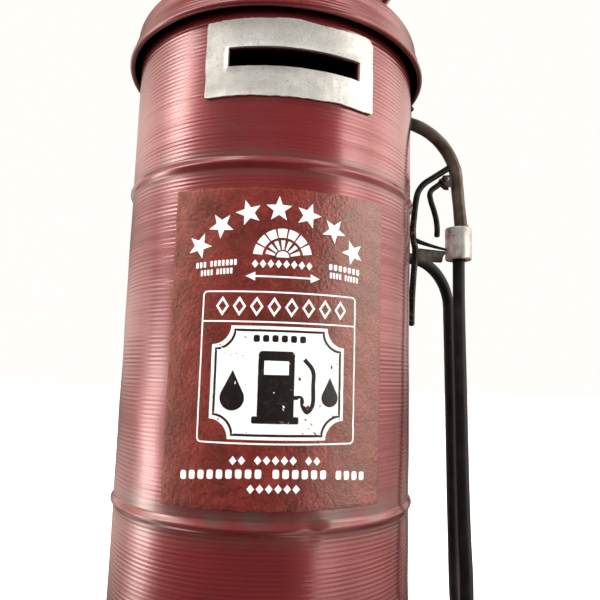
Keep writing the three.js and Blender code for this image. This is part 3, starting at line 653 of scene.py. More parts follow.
def drum_haze(p):
    """Smoky film: a band 5 mm tall over the lower bead, a thin one over the upper bead, some at the collar."""
    side = way_round(p)
    edge = unevenness(side, p[:, 2], 14, 11)
    low = hump(p[:, 2], LOW_BEAD + 3.6, 3.0 + 0.9 * edge) * (0.8 + 0.25 * edge)
    low += 0.55 * hump(p[:, 2], LOW_BEAD - 3.0, 1.6)
    high = 0.75 * hump(p[:, 2], HIGH_BEAD + 2.9, 1.7 + 0.4 * edge) + 0.5 * hump(p[:, 2], HIGH_BEAD - 3.0, 1.3)
    collar = 0.8 * hump(p[:, 2], COLLAR_TOP, 3.2 + edge)
    return low + high + collar + 0.12 * (edge > 1.2)


def drum_painted_shade(p):
    """Painted shade: near black on the inside of the sheet, and a painted shadow where the drum goes up under the
    cap.
    """
    radial = np.hypot(p[:, 0], p[:, 1])
    return (radial < BODY_R + bead_rise(p[:, 2]) - SHEET + 0.3) + 0.9 * np.clip((p[:, 2] - BRIM + 0.6) / 1.2, 0, 1)


piece("drum_shell", [sheet(drum_front, drum_back, drum_keep, around=True)], PAINT, "drum",
      haze=drum_haze, painted_shade=drum_painted_shade)

# ---------------------------------------------------------------- label
LABEL_HALF = degrees_round(37.6)
LABEL_R = BODY_R + GAP + 0.5
LABEL_MID = (label_low[2] + label_high[2]) / 2
LABEL_TALL = (label_high[2] - label_low[2]) / 2


def label_lift(way, z):
    """How far the label's skin stands off its smooth cylinder: low ripples, and a blister near the lower edge."""
    low = 0.05 * unevenness(way, z, 12, 21) + 0.03 * unevenness(way, z, 3.2, 22)
    blister = 0.25 * hump(way, 9, 3.4) * hump(z, label_low[2] + 2.6, 1.5)
    blister += 0.18 * hump(way, -16, 4.0) * hump(z, label_low[2] + 2.2, 1.2)
    return low + blister


def label_sheet():
    """The label: a rectangle with small round corners wrapped on the drum, its edges a little worn."""
    x, y = np.meshgrid(np.linspace(-LABEL_HALF, LABEL_HALF, 118), np.linspace(-LABEL_TALL, LABEL_TALL, 130))
    x, y = rounded(x, y, LABEL_HALF, LABEL_TALL, 1.0)
    edge = np.maximum(abs(x) / LABEL_HALF, abs(y) / LABEL_TALL) > 0.999
    x = x - np.sign(x) * edge * (0.2 + 0.15 * unevenness(y, y * 0, 6, 23))
    y = y - np.sign(y) * edge * (0.2 + 0.15 * unevenness(x, x * 0, 6, 24))
    z = y + LABEL_MID
    top = on_drum(x, z, LABEL_R - 0.1 + label_lift(x, z) - 0.12 * edge)
    return sheet(top, on_drum(x, z, np.full(x.shape, BODY_R + 0.1)))


piece("rust_label", [label_sheet()], RUST_PRINT, "label_panel")

INK = 0.05  # the print stands this far off the label
UNDER = -0.04  # and its underside lies this far below the label's skin


def on_label(flat, lift):
    """Places of (way round, height) points at a lift off the label's skin."""
    x, z = flat[..., 0], flat[..., 1]
    return on_drum(x, z, LABEL_R - 0.1 + label_lift(x, z) + lift)


def flake(outline, centre, shares):
    """Rings of flat points that grow from an outline's centre to the outline by the given shares, then the outer
    and the inner ring once more for the underside. The centre is the points' mean unless it is given."""
    outline = np.asarray(outline, float)
    centre = outline.mean(0) if centre is None else np.asarray(centre, float)
    flat = centre + np.array(shares)[:, None, None] * (outline - centre)
    return np.concatenate([flat, flat[-1:], flat[:1]])


def printed(outline, centre=None, shares=(0.25, 0.5, 0.75, 1)):
    """A closed flake of ink over an outline of (way round, height) points that can all be seen from its centre: its
    rings follow the label's skin and go back under it."""
    lift = np.r_[np.full(len(shares), INK), UNDER, UNDER][:, None]
    return rings(on_label(flake(outline, centre, shares), lift))


def ring_print(outline, width, steps=3):
    """A closed line of ink of one width inside an outline, joined along both ways."""
    outline = np.asarray(outline, float)
    inward = beside(np.roll(outline, -1, 0) - np.roll(outline, 1, 0))
    flat = outline + np.linspace(0, width, steps)[:, None, None] * inward
    lift = np.r_[np.full(steps, INK), np.full(steps, UNDER)][:, None]
    return rings(on_label(np.concatenate([flat, flat[::-1]]), lift), ends=False)


def dense(outline, spacing=0.9):
    """A closed outline with points added evenly along each side."""
    p = np.asarray(outline, float)
    q = np.roll(p, -1, 0)
    counts = np.maximum(1, np.ceil(np.linalg.norm(q - p, axis=1) / spacing)).astype(int)
    start = np.repeat(np.cumsum(counts) - counts, counts)
    t = ((np.arange(counts.sum()) - start) / np.repeat(counts, counts))[:, None]
    return np.repeat(p, counts, 0) * (1 - t) + np.repeat(q, counts, 0) * t


def stripe(path, width):
    """A closed strip of ink along a path of (way round, height) points: half a width each side of it."""
    path = np.asarray(path, float)
    out = beside(np.gradient(path, axis=0)) * width / 2
    flat = np.stack([path + out, path, path - out], 0)
    return sheet(on_label(flat, INK), on_label(flat, UNDER))


def level_line(x0, x1, z, width):
    """A level strip of ink between two places."""
    x = np.linspace(x0, x1, 60)
    return stripe(np.stack([x, 0 * x + z], -1), width)


def star(x, z, size, turn=0.0):
    """A five-pointed star's outline: ten points on two circles in turn."""
    a = np.radians(turn) + np.arange(10) * pi / 5
    r = size * np.where(np.arange(10) % 2, 0.42, 1.0)
    return dense(np.stack([x + r * np.sin(a), z + r * np.cos(a)], -1), 1.2)


def lozenge(x, z, half_x, half_z):
    """A four-pointed outline standing on its point."""
    return dense([[x, z + half_z], [x + half_x, z], [x, z - half_z], [x - half_x, z]], 1.2)


def bar(x0, x1, z, tall, r=None):
    """A bar's outline with round corners, level, about a height."""
    r = tall / 2 if r is None else r
    corner = np.radians(np.arange(0, 91, 30))
    quarter = np.stack([np.sin(corner), np.cos(corner)], -1) * r
    right = np.vstack([quarter * [1, 1], quarter[::-1] * [1, -1]])
    shift = [x1 - r, tall / 2 - r]
    right = right + np.where(np.arange(len(right))[:, None] < len(quarter), shift, [shift[0], -shift[1]])
    left = np.vstack([quarter * [-1, -1], quarter[::-1] * [-1, 1]])
    left = left + np.where(
        np.arange(len(left))[:, None] < len(quarter), [x0 + r, -shift[1]], [x0 + r, shift[1]]
    )
    return dense(np.vstack([right, left]) + [0, z], 1.3)


def sag(x, z):
    """A printed line's height, a little lower towards its ends."""
    return z - 1.6 * (np.asarray(x) / 30) ** 2


def marks(x0, x1, z, tall, groups, shape):
    """Small marks in a row between two ends, in groups with a wider gap between them."""
    slots = sum(groups) + 0.8 * (len(groups) - 1)
    pitch = (x1 - x0) / slots
    starts = np.cumsum([0] + [g + 0.8 for g in groups[:-1]])
    places = np.concatenate([s + np.arange(g) + 0.5 for s, g in zip(starts, groups)])
    return [printed(shape(x, sag(x, z), 0.42 * pitch, tall / 2)) for x in x0 + pitch * places]


# seven stars in an arch
ARCH_X, ARCH_Z, ARCH_R = degrees_round(-1.6), 147.6, 33.4
stars = []
for t in np.radians(np.linspace(-50, 50, 7)):
    at = (ARCH_X + ARCH_R * np.sin(t), ARCH_Z + ARCH_R * np.cos(t))
    stars.append(printed(star(*at, 4.3, np.degrees(t)), at))
piece("label_stars", stars, WHITE_INK)

# half-round badge with a rising sun over a bar of lozenges
BADGE_Z = 165.3
sun_rays = np.radians(np.linspace(-72, 72, 7))


def fan(radius_in, radius_out, start, end, n=8):
    """Outline of a sector of a ring about the badge's centre."""
    t = np.linspace(start, end, n)
    outer = np.stack([radius_out * np.sin(t), radius_out * np.cos(t)], -1)
    inner = np.stack([radius_in * np.sin(t[::-1]), radius_in * np.cos(t[::-1])], -1)
    return np.vstack([outer, inner])


badge = [printed(dense(fan(2.6, 5.6, t - 0.12, t + 0.12, 3) + [0, BADGE_Z], 1.0)) for t in sun_rays]
badge.append(printed(dense(np.vstack([fan(0, 2.0, -pi / 2, pi / 2, 12)[:12], [[0, 0]]]) + [0, BADGE_Z + 0.1], 1.0),
                     (0, BADGE_Z + 0.8)))
for start in np.arange(-84, 84, 24):
    badge.append(printed(dense(fan(6.5, 9.4, np.radians(start), np.radians(start + 20), 9) + [0, BADGE_Z], 1.0)))
badge += marks(-9.8, 9.8, 163.2, 2.7, [8], lozenge)
piece("label_badge", badge, WHITE_INK)

# double arrow
ARROW_Z = 159.1
arrow = [level_line(-9.0, 9.6, ARROW_Z, 0.55)]
for tip, back in ((-11.4, -8.4), (12.1, 9.1)):
    arrow.append(printed(dense([[tip, ARROW_Z], [back, ARROW_Z + 1.4], [back, ARROW_Z - 1.4]], 1.0)))
piece("label_arrow", arrow, WHITE_INK)


def dash(x, z, half_x, half_z):
    """A short upright dash."""
    return bar(x - half_x * 0.8, x + half_x * 0.8, z, 2 * half_z, half_x * 0.5)


# rows of marks: from, to, height, how tall, groups, shape
ROWS = [
    (-28.3, -14.2, 163.9, 1.9, [3, 7], dash),
    (-26.5, -15.5, 161.2, 1.9, [4, 5], dash),
    (15.0, 27.0, 163.9, 1.9, [7], dash),
    (15.4, 26.4, 161.2, 1.9, [4, 5], dash),
    (-14.4, 14.0, 102.6, 2.7, [2, 5, 2], lozenge),
    (-30.4, 30.4, 98.6, 2.7, [9, 6, 4], dash),
    (-8.8, 7.7, 94.2, 2.7, [6], lozenge),
]
piece("label_rows", [mark for row in ROWS for mark in marks(*row)], WHITE_INK)

# frame with its header
FRAME_L, FRAME_R, FRAME_B, FRAME_T, HEADER_Z = -25.1, 25.5, 107.2, 154.4, 144.7


def box_outline(x0, x1, z0, z1, r, n=6):
    """A rectangle's outline with round corners."""
    t = np.radians(np.linspace(0, 90, n))
    corners = []
    for cx, cz, first in ((x1 - r, z1 - r, 0), (x0 + r, z1 - r, 90), (x0 + r, z0 + r, 180), (x1 - r, z0 + r, 270)):
        corners.append(np.stack([cx + r * np.cos(t + np.radians(first)), cz + r * np.sin(t + np.radians(first))], -1))
    return dense(np.vstack(corners), 1.5)


LINE = 0.5
frame_lines = [
    ring_print(box_outline(FRAME_L, FRAME_R, FRAME_B, FRAME_T, 1.6), LINE),
    level_line(FRAME_L, FRAME_R, HEADER_Z, LINE),
]
for x in np.linspace(-18.4, 19.6, 8):
    frame_lines.append(ring_print(dense([[x, 152.6], [x - 2.1, 149.5], [x, 146.4], [x + 2.1, 149.5]], 0.8), 0.7))
piece("label_frame", frame_lines, WHITE_INK)

# plaque: a ticket shape with scooped corners, a black line inside it, and a pump sign between two drops
PLAQUE_X, PLAQUE_Z, PLAQUE_HX, PLAQUE_HZ, SCOOP = 0.0, 126.0, 21.2, 17.4, 6.0


def ticket(inset):
    """A rectangle whose corners are scooped out by quarter circles."""
    hx, hz = PLAQUE_HX - inset, PLAQUE_HZ - inset
    t = np.radians(np.linspace(0, 90, 9))
    s, c = SCOOP * np.sin(t), SCOOP * np.cos(t)
    corner = np.stack([hx - c, hz - s], -1)[::-1]
    quarters = [corner, corner[::-1] * [-1, 1], corner * [-1, -1], corner[::-1] * [1, -1]]
    outline = np.vstack(quarters)
    return dense(outline + [PLAQUE_X, PLAQUE_Z], 1.2)


piece("label_plaque", [printed(ticket(0), shares=tuple(np.linspace(0.1, 1, 12)))], WHITE_INK)
INK = 0.09  # black over white stands further off
plaque_line = [ring_print(ticket(1.0), 0.75)]


def drop(x, z, size):
    """A drop's outline: a circle drawn out to a point above."""
    a = np.radians(np.linspace(-125, 125, 21)) + pi
    body = np.stack([x + 0.62 * size * np.sin(a), z - 0.38 * size + 0.62 * size * np.cos(a)], -1)
    return dense(np.vstack([body, [[x, z + size]]]), 1.0)


def pump_sign():
    """A plain pump sign: a case with a window left open, on a base, with a hose looped at its side."""
    case = [
        printed(bar(-6.4, -4.6, 124.6, 18, 0.4)),
        printed(bar(3.0, 4.8, 124.6, 18, 0.4)),
        printed(bar(-6.4, 4.8, 134.2, 3.0, 1.2)),
        printed(dense([[-4.9, 128.4], [3.3, 128.4], [3.3, 115.6], [-4.9, 115.6]], 1.2)),
        printed(bar(-8.0, 6.4, 114.6, 2.2, 0.5)),
    ]
    loop = smooth([[4.6, 121.5], [7.0, 121.4], [7.6, 119.0], [9.0, 117.2], [10.6, 119.0], [10.8, 125], [10.6, 130.0],
                   [7.8, 133.4]], 6)
    case.append(stripe(loop, 1.3))
    return case


signs = pump_sign()
signs += [printed(drop(-14.2, 123.4, 6.2)), printed(drop(16.4, 123.4, 4.6))]
signs += marks(-8.6, 8.6, 139.6, 2.2, [6], dash)
piece("label_signs", plaque_line + signs, BLACK_INK)


# ---------------------------------------------------------------- coin slot plate
PLATE_R = BODY_R + GAP + 1.0
EDGE_WANDER = 0.22  # how far the cut edges wander in and out


def slot_plate():
    """The plate: a sheet wrapped on the drum, torn to a wavy outline with the upper right corner rounded, and a
    slot with its edge turned out a little. Columns and rows of the grid meet the slot's own edges."""
    left, right = (np.arcsin(end / PLATE_R) * BODY_R for end in (plate_low[0], plate_high[0]))
    slot = np.arcsin(SLOT_X / BODY_R) * BODY_R
    columns = np.unique(np.round(np.r_[
        np.linspace(left, slot[0], 14), np.linspace(*slot, 56), np.linspace(slot[1], right, 12),
    ], 4))
    levels = np.unique(np.round(np.r_[
        np.linspace(plate_low[2], SLOT_Z[0], 14), np.linspace(*SLOT_Z, 8), np.linspace(SLOT_Z[1], plate_high[2], 12),
    ], 4))
    x, z = np.meshgrid(columns, levels)
    u = (x - left) / (right - left)
    v = (z - plate_low[2]) / (plate_high[2] - plate_low[2])
    top = np.clip((z - SLOT_Z[1]) / (plate_high[2] - SLOT_Z[1]), 0, 1)
    low = np.clip((SLOT_Z[0] - z) / (SLOT_Z[0] - plate_low[2]), 0, 1)
    west = np.clip((slot[0] - x) / (slot[0] - left), 0, 1)
    east = np.clip((x - slot[1]) / (right - slot[1]), 0, 1)
    dz = -top**2 * EDGE_WANDER * (0.6 + unevenness(x, x * 0, 20, 31)) - 0.08 * top**2 * unevenness(x, x * 0, 3, 32)
    dz += low**2 * EDGE_WANDER * (0.6 + unevenness(x, x * 0, 22, 33)) + 0.08 * low**2 * unevenness(x, x * 0, 3, 34)
    dx = west**2 * EDGE_WANDER * (0.6 + unevenness(z, z * 0, 16, 35))
    dx -= east**2 * EDGE_WANDER * (0.6 + unevenness(z, z * 0, 15, 36))
    middle_x, middle_z = (left + right) / 2, (plate_low[2] + plate_high[2]) / 2
    corner = np.where((u > 0.5) & (v > 0.5), 3.0, 0.5)
    rx, rz = rounded(x - middle_x, z - middle_z, (right - left) / 2, (plate_high[2] - plate_low[2]) / 2, corner)
    x, z = rx + middle_x + dx, rz + middle_z + dz
    keep = ~np.outer(within(levels, *SLOT_Z)[:-1], within(columns, *slot)[:-1])
    away = np.maximum(np.maximum(slot[0] - x, x - slot[1]), np.maximum(SLOT_Z[0] - z, z - SLOT_Z[1]))
    lip = 0.45 * np.exp(-((np.clip(away, 0, None) / 0.9) ** 2))
    lift = 0.10 * unevenness(x, z, 9, 37) + 0.05 * unevenness(x, z, 3.5, 38)
    curl = 0.45 * np.clip(np.maximum(abs(u - 0.5), abs(v - 0.5)) * 2 - 0.9, 0, 1) / 0.1
    r = BODY_R + GAP + 0.45
    front = on_drum(x, z, r + lip + lift * 0.6 + curl * 0.4)
    back = on_drum(x, z, np.full(x.shape, BODY_R + GAP - 0.05))
    return sheet(front, back, keep)


piece("pewter_plate", [slot_plate()], PEWTER, "slot_plate", sharp=50)


# ---------------------------------------------------------------- cap
def cap_profile():
    """The cap's outside: a rolled hem, a hollow flare, a shoulder and a shallow dome, as (radius, height)."""
    hem = arc(CAP_R - HEM_R, BRIM + HEM_R, HEM_R, -90, 20, 9)
    up = np.array([[0.12, 60.75], [0.18, 60.3], [0.3, 59.2], [0.46, 58.5], [0.54, 57.3], [0.6, 54.6], [0.7, 48],
                   [0.83, 36], [0.95, 19], [1, 3]])
    shoulder = np.stack([up[:, 1], BRIM + up[:, 0] * DOME_H], -1)
    return np.vstack([hem, smooth(shoulder, 7)])


def cap_skin():
    """A closed ring of sheet: the outside, then one sheet thickness further in all the way back."""
    outside = cap_profile()
    inside = (outside + beside(np.gradient(outside, axis=0)))[11:]
    roll = arc(CAP_R - HEM_R, BRIM + HEM_R, HEM_R, 150, 255, 8)
    rows = lathe(np.vstack([outside, inside[::-1], roll]), 192)
    a = np.arctan2(rows[..., 0], -rows[..., 1])
    radial = np.hypot(rows[..., 0], rows[..., 1])
    wobble = 0.12 * unevenness(np.cos(a) * 50, np.sin(a) * 50, 60, 41) - 0.12
    rows[..., 0] += np.sin(a) * wobble * (radial > 20)
    rows[..., 1] -= np.cos(a) * wobble * (radial > 20)
    return rings(rows, ends=False)


def cap_haze(p):
    """Greenish brown film in blotches over the dome, and a line of it in the hem."""
    side = way_round(p)
    up = (p[:, 2] - BRIM) / DOME_H
    blotch = np.clip(unevenness(p[:, 0], p[:, 1], 26, 42) * 0.7 + 0.35, 0, 1)
    return blotch * np.clip((up - 0.35) / 0.3, 0, 1) * 0.75 + 0.4 * hump(p[:, 2], BRIM + 2.6, 1.1) + 0.15 * (
        unevenness(side, p[:, 2], 20, 43) > 0.9
    )


def cap_painted_shade(p):
    """Painted shade, near black inside: points that lie further in than the outline at their height."""
    outside = cap_profile()
    order = np.argsort(outside[:, 1])
    edge = np.interp(p[:, 2], outside[order, 1], outside[order, 0])
    return (np.hypot(p[:, 0], p[:, 1]) < edge - 0.65) & (p[:, 2] > BRIM + 0.5)


piece("domed_cap", [cap_skin()], PAINT, "cap", haze=cap_haze, painted_shade=cap_painted_shade)


# ---------------------------------------------------------------- foot
def foot_profile():
    """The foot in section, outside then inside: collar, flare, rolled rim, and the ledge that the drum stands on."""
    inner, outer = BODY_R + GAP, BODY_R + GAP + SHEET
    ledge = drum_low[2] - GAP
    rim = 2.4
    middle, bottom = FOOT_R - rim, foot_low[2]
    flare = smooth([[outer, COLLAR_TOP - 1.2], [outer, COLLAR_TOP - 6], [outer + 0.9, COLLAR_TOP - 9],
                    [outer + 3.0, ledge - 4.5], [outer + 6.2, ledge - 9.5], [outer + 8.2, bottom + 5.4]], 5)
    return np.vstack([
        [[inner, COLLAR_TOP]],
        arc(outer - 0.5, COLLAR_TOP - 0.5, 0.5, 90, 0, 5),
        flare,
        arc(middle, bottom + rim, rim, 85, -90, 16),
        [[middle - rim, bottom], [middle - rim, bottom + 2 * rim]],
        smooth([[outer + 5.0, ledge - 9.8], [outer + 1.8, ledge - 4.8], [outer - 0.4, ledge - SHEET]], 5),
        [[BODY_R - 2.6, ledge - SHEET], [BODY_R - 2.6, ledge], [inner, ledge]],
    ])


def foot_haze(p):
    """Film in the collar's corner and rubbed into the rolled rim."""
    side = way_round(p)
    edge = unevenness(side, p[:, 2], 16, 51)
    return hump(p[:, 2], COLLAR_TOP - 8.5, 3 + edge) * 0.8 + hump(p[:, 2], foot_low[2] + 1, 2.5) * 0.7 + 0.2 * edge


piece("flared_foot", [rings(lathe(foot_profile(), 192), ends=False)], PAINT, "foot", haze=foot_haze)


def ring_between(outer_r, hole_r, hole_y, z0, z1, n=96, bulge=0.0):
    """A flat ring between a circle about the axis and a smaller circle about a point behind it."""
    a = np.linspace(0, 2 * pi, n, endpoint=False)
    outer = np.stack([outer_r * np.sin(a), -outer_r * np.cos(a)], -1)
    inner = np.stack([hole_r * np.sin(a), hole_y - hole_r * np.cos(a)], -1)
    t = np.linspace(0, 1, 8)[:, None, None]
    flat = outer + t * (inner - outer)
    rise = bulge * unevenness(flat[..., 0], flat[..., 1], 18, 61)
    top = np.concatenate([flat, np.full((*flat.shape[:2], 1), z1)], -1)
    low = np.concatenate([flat, (z0 + np.abs(rise))[..., None]], -1)[::-1]
    return rings(np.concatenate([top, low]), ends=False)


PLUG_OFF = (plug_low[1] + plug_high[1]) / 2
PLUG_OUT = (plug_high[0] - plug_low[0]) / 2
pad_r = pad_high[0]
piece("felt_disc", [ring_between(pad_r - 0.1, PLUG_OUT + 0.6, PLUG_OFF, 0.0, pad_high[2] - 0.05, 120, 0.12)],
      FELT, "felt_pad")


def plug_skin():
    """The rubber plug: a flange below, a round body, a hollow in its underside and a finger bar across it."""
    bottom, top = plug_low[2], plug_high[2]
    r = PLUG_OUT - 2.9
    hollow = r - 3.2
    profile = np.vstack([
        [[0.2, top]], arc(r - 1.4, top - 1.4, 1.4, 90, 0, 5), [[r, 1.5]],
        arc(PLUG_OUT - 0.45, bottom + 0.42, 0.4, 80, -90, 6),
        arc(hollow + 0.5, bottom + 0.5, 0.5, -90, -180, 5), [[hollow, bottom + 4.4]],
        arc(hollow - 0.6, bottom + 4.4, 0.6, 0, 90, 4), [[0.2, bottom + 5.0]],
    ])
    body = lathe(profile, 72) + [0, PLUG_OFF, 0]
    t = np.linspace(-1, 1, 25)
    path = np.stack([t * (hollow + 0.3), 0 * t + PLUG_OFF, 0 * t + bottom + 2.0], -1)
    grip = swept(path, 1.5, 20, 0)
    grip[..., 1] = PLUG_OFF + (grip[..., 1] - PLUG_OFF) * 1.2
    return [rings(body), rings(grip)]


piece("rubber_plug", plug_skin(), RUBBER, "coin_plug", "plug")


# ---------------------------------------------------------------- globe
def facing(points, side=1):
    """Turns points made about +Z until +Z faces the front, at the globe's centre; side -1 faces the back, and is
    upright there too."""
    x, y, z = np.moveaxis(points, -1, 0)
    return np.stack([x * side, -z * side, y + GLOBE], -1)


def globe_band():
    """The band: a hoop of sheet with a shallow groove near each edge."""
    half = GLOBE_HALF
    w = np.linspace(-half, half, 33)
    groove = 0.5 * (hump(w, -half * 0.55, 1.1) + hump(w, half * 0.55, 1.1))
    profile = np.vstack([
        np.stack([GLOBE_R - 0.05 - groove, w], -1),
        np.stack([GLOBE_R - SHEET - groove * 0.9, w], -1)[::-1],
    ])
    return rings(facing(lathe(profile, 160)), ends=False)


def globe_haze(p):
    """Film in the band's grooves and where the bezel meets it."""
    return 0.7 * hump(abs(p[:, 1]), GLOBE_HALF * 0.55, 1.4) + 0.6 * hump(abs(p[:, 1]), GLOBE_HALF - 3.4, 1.5)


piece("globe_rim", [globe_band()], GLOBE_PAINT, "globe_band", haze=globe_haze)


def bezel_skin(side):
    """One bezel: a rolled ring over the band's edge that turns in over the face."""
    half = GLOBE_HALF
    outer, lip = GLOBE_R + BEZEL_T, GLOBE_R - 1.2 - 5
    profile = np.vstack([
        [[outer - 0.5, half - 3.4]],
        arc(outer - 0.5, half - 2.9, 0.5, -60, 0, 4),
        arc(outer - 1.6, half + 0.4, 1.6, 0, 90, 10),
        arc(lip + 1.2, half + 1.1, 0.9, 90, 215, 9),
        [[GLOBE_R - 2.4, half + GAP], [GLOBE_R + GAP, half + GAP], [GLOBE_R + GAP, half - 3.4]],
    ])
    return rings(facing(lathe(profile, 160), side), ends=False)


def bezel_haze(p):
    """Film under the bezel's inner lip."""
    return 0.8 * hump(np.hypot(p[:, 0], p[:, 2] - GLOBE), GLOBE_R - 5.5, 1.3)


for side, name in ((1, "front"), (-1, "back")):
    piece(f"globe_ring_{name}", [bezel_skin(side)], GLOBE_PAINT, f"globe_bezel_{name}", haze=bezel_haze)

FACE_R = GLOBE_R - 1.5
FACE_BACK = GLOBE_HALF - 3.0


def face_front(r):
    """Height of a face's outside at a distance from its middle: a low crown that falls off as a parabola."""
    return FACE_BACK + 1.4 + 2.9 * (1 - (r / FACE_R) ** 2)


def face_skin(side):
    """One face: a thin crowned disc."""
    r = np.linspace(FACE_R, 0.5, 24)
    front = np.stack([r, face_front(r)], -1)
    rear = np.stack([r, face_front(r) - 1.35], -1)[::-1]
    return rings(facing(lathe(np.vstack([rear, front]), 128), side))


def globe_print(outline, side, centre=None, lift=0.06):
    """A closed flake of enamel over an outline of (across, up) points, following a face's crown."""
    flat = flake(outline, centre, (0.2, 0.4, 0.6, 0.8, 1.0))
    up = np.r_[np.full(5, lift), -0.05, -0.05][:, None]
    height = face_front(np.hypot(flat[..., 0], flat[..., 1])) + up
    return rings(facing(np.concatenate([flat, height[..., None]], -1), side))


def globe_ring(r0, r1, side, lift=0.06):
    """A closed ring of enamel on a face, between two radii."""
    r = np.linspace(r0, r1, 5)
    top = np.stack([r, face_front(r) + lift], -1)
    low = np.stack([r, face_front(r) - 0.05], -1)[::-1]
    return rings(facing(lathe(np.vstack([top, low]), 128), side), ends=False)


WIDE_RING, FINE_RING = (49.5, 52.5), (33.5, 34.7)  # inner and outer radius of the red rings
STAR_RING = 42  # radius of the ring of stars
for side, name in ((1, "front"), (-1, "back")):
    piece(f"globe_disc_{name}", [face_skin(side)], ENAMEL, f"globe_face_{name}")
    red = [globe_ring(*WIDE_RING, side), globe_ring(*FINE_RING, side)]
    red.append(globe_print(drop(0, -1.0, 21), side, (0, -9)))
    piece(f"globe_{name}_red", red, GLOBE_PAINT)
    dots = []
    for t in np.radians(np.arange(0, 360, 30)):
        at = (STAR_RING * np.sin(t), STAR_RING * np.cos(t))
        dots.append(globe_print(star(*at, 3.4, np.degrees(t)), side, at))
    dots.append(globe_print(star(0, -8, 6.5), side, (0, -8), 0.12))
    piece(f"globe_{name}_stars", dots, BLACK_INK)


def saddle_skin():
    """The saddle: a spun cup on the dome whose rim dips to the globe's curve. Its top height at a place is the
    lower of its own rim and the circle of the globe, with clearance."""
    top = saddle_high[2]
    base = cap_high[2]
    profile = np.vstack([
        [[2.8, base + 0.4], [12, base - 0.15], [21, base - 1.2]],
        arc(23.6, base - 0.7, 1.2, -90, 60, 8),
        smooth([[22.6, base + 1.4], [20.8, base + 3.0], [20.2, top - 2.6], [20.9, top - 1.0]], 4),
        arc(20.6, top - 0.6, 0.6, 0, 120, 5),
        [[14, top - 0.3], [2.8, top - 0.3]],
    ])
    rows = lathe(profile, 120)
    inside_x = np.clip(abs(rows[..., 0]), 0, GLOBE_R)
    room = GLOBE - np.sqrt((GLOBE_R + BEZEL_T + GAP) ** 2 - inside_x**2)
    rows[..., 2] = np.minimum(rows[..., 2], np.maximum(room, base + 0.5 - 0.09 * np.maximum(0, np.hypot(
        rows[..., 0], rows[..., 1]) - 12)))
    return rings(rows, ends=False)


piece("globe_seat", [saddle_skin()], PAINT, "globe_saddle",
      haze=lambda p: 0.5 + 0.4 * unevenness(p[:, 0], p[:, 1], 9, 62))

# ---------------------------------------------------------------- spout
NOZZLE = np.array([BODY_R, 0, SPOUT_Z])


def in_plane(points):
    """Points (out, up) of the nozzle's own plane as places."""
    p = np.asarray(points, float)
    return np.stack([p[:, 0], 0 * p[:, 0], p[:, 1]], -1) + NOZZLE


SPOUT_REACH = 24.0  # from the drum's side to the spout's upright run
SPOUT_BEND = 27.65  # radius of its bend
SPOUT_LEAN = 1.8  # how far the run leans out by the time it meets the sleeve
SPOUT_IN_SLEEVE = 7.0
SLEEVE_TOP, SLEEVE_H, SLEEVE_OUT = 47.2, 14.2, 24.45
HANDLE = 0.5523  # a cubic curve's handle, as a share of the radius, for a quarter turn


def spout_line():
    """The spout's centreline: straight through the wall, a quarter turn as a cubic Bezier, and down, leaning out."""
    bend_x = SPOUT_REACH - SPOUT_BEND
    t = np.linspace(0, 1, 40)[:, None]
    p = np.array([[bend_x, 0], [bend_x + HANDLE * SPOUT_BEND, 0], [SPOUT_REACH, -SPOUT_BEND * (1 - HANDLE)],
                  [SPOUT_REACH, -SPOUT_BEND]])
    bend = (1 - t) ** 3 * p[0] + 3 * (1 - t) ** 2 * t * p[1] + 3 * (1 - t) * t**2 * p[2] + t**3 * p[3]
    lean = SPOUT_LEAN / (SLEEVE_TOP - SPOUT_BEND)
    down = np.linspace(-SPOUT_BEND, -SLEEVE_TOP - SPOUT_IN_SLEEVE, 16)[1:]
    run = np.stack([SPOUT_REACH + lean * (-down - SPOUT_BEND), down], -1)
    start = np.stack([np.linspace(-16, bend_x, 8)[:-1], np.zeros(7)], -1)
    return in_plane(np.vstack([start, bend, run]))


spout_path = spout_line()
spout_along = np.linspace(0, 1, len(spout_path))
spout_radius = SPOUT_R - 0.08 + 0.06 * unevenness(spout_along * 90, 0 * spout_along, 14, 71)
piece("spout_pipe", [rings(swept(spout_path, spout_radius, 28))], BRONZE, "spout_tube", "nozzle")


def sleeve_skins():
    """The sleeve: a short turned barrel with rounded ends and a faint ripple along its side, and a blob of solder at
    its upper edge.
    """
    top, bottom = -SLEEVE_TOP, -SLEEVE_TOP - SLEEVE_H
    z = np.linspace(bottom + 0.7, top - 0.7, 15)
    side = np.stack([SLEEVE_R - 0.1 + 0.05 * np.sin(z * 1.1), z], -1)
    profile = np.vstack([
        [[3.3, bottom + 0.8], [3.4, bottom + 0.1]],
        arc(SLEEVE_R - 0.8, bottom + 0.7, 0.7, -90, -10, 5),
        side,
        arc(SLEEVE_R - 0.8, top - 0.7, 0.7, 10, 90, 5),
        [[3.4, top - 0.1], [3.3, top - 0.8]],
    ])
    barrel = lathe(profile, 64) + NOZZLE + [SLEEVE_OUT, 0, 0]
    t = np.linspace(0.08, 1, 12)
    blob = np.stack([1.35 * np.sin(pi * t[:, None]) * np.cos(np.linspace(0, 2 * pi, 20, endpoint=False)),
                     1.15 * np.sin(pi * t[:, None]) * np.sin(np.linspace(0, 2 * pi, 20, endpoint=False)),
                     np.repeat(1.5 * np.cos(pi * t)[:, None], 20, 1)], -1)[:-1]
    return [rings(barrel, ends=False), rings(blob + NOZZLE + [SLEEVE_OUT + 3.7, -1.6, top + 0.2])]


piece("pewter_sleeve", sleeve_skins(), SLEEVE, "nozzle_sleeve", "nozzle")

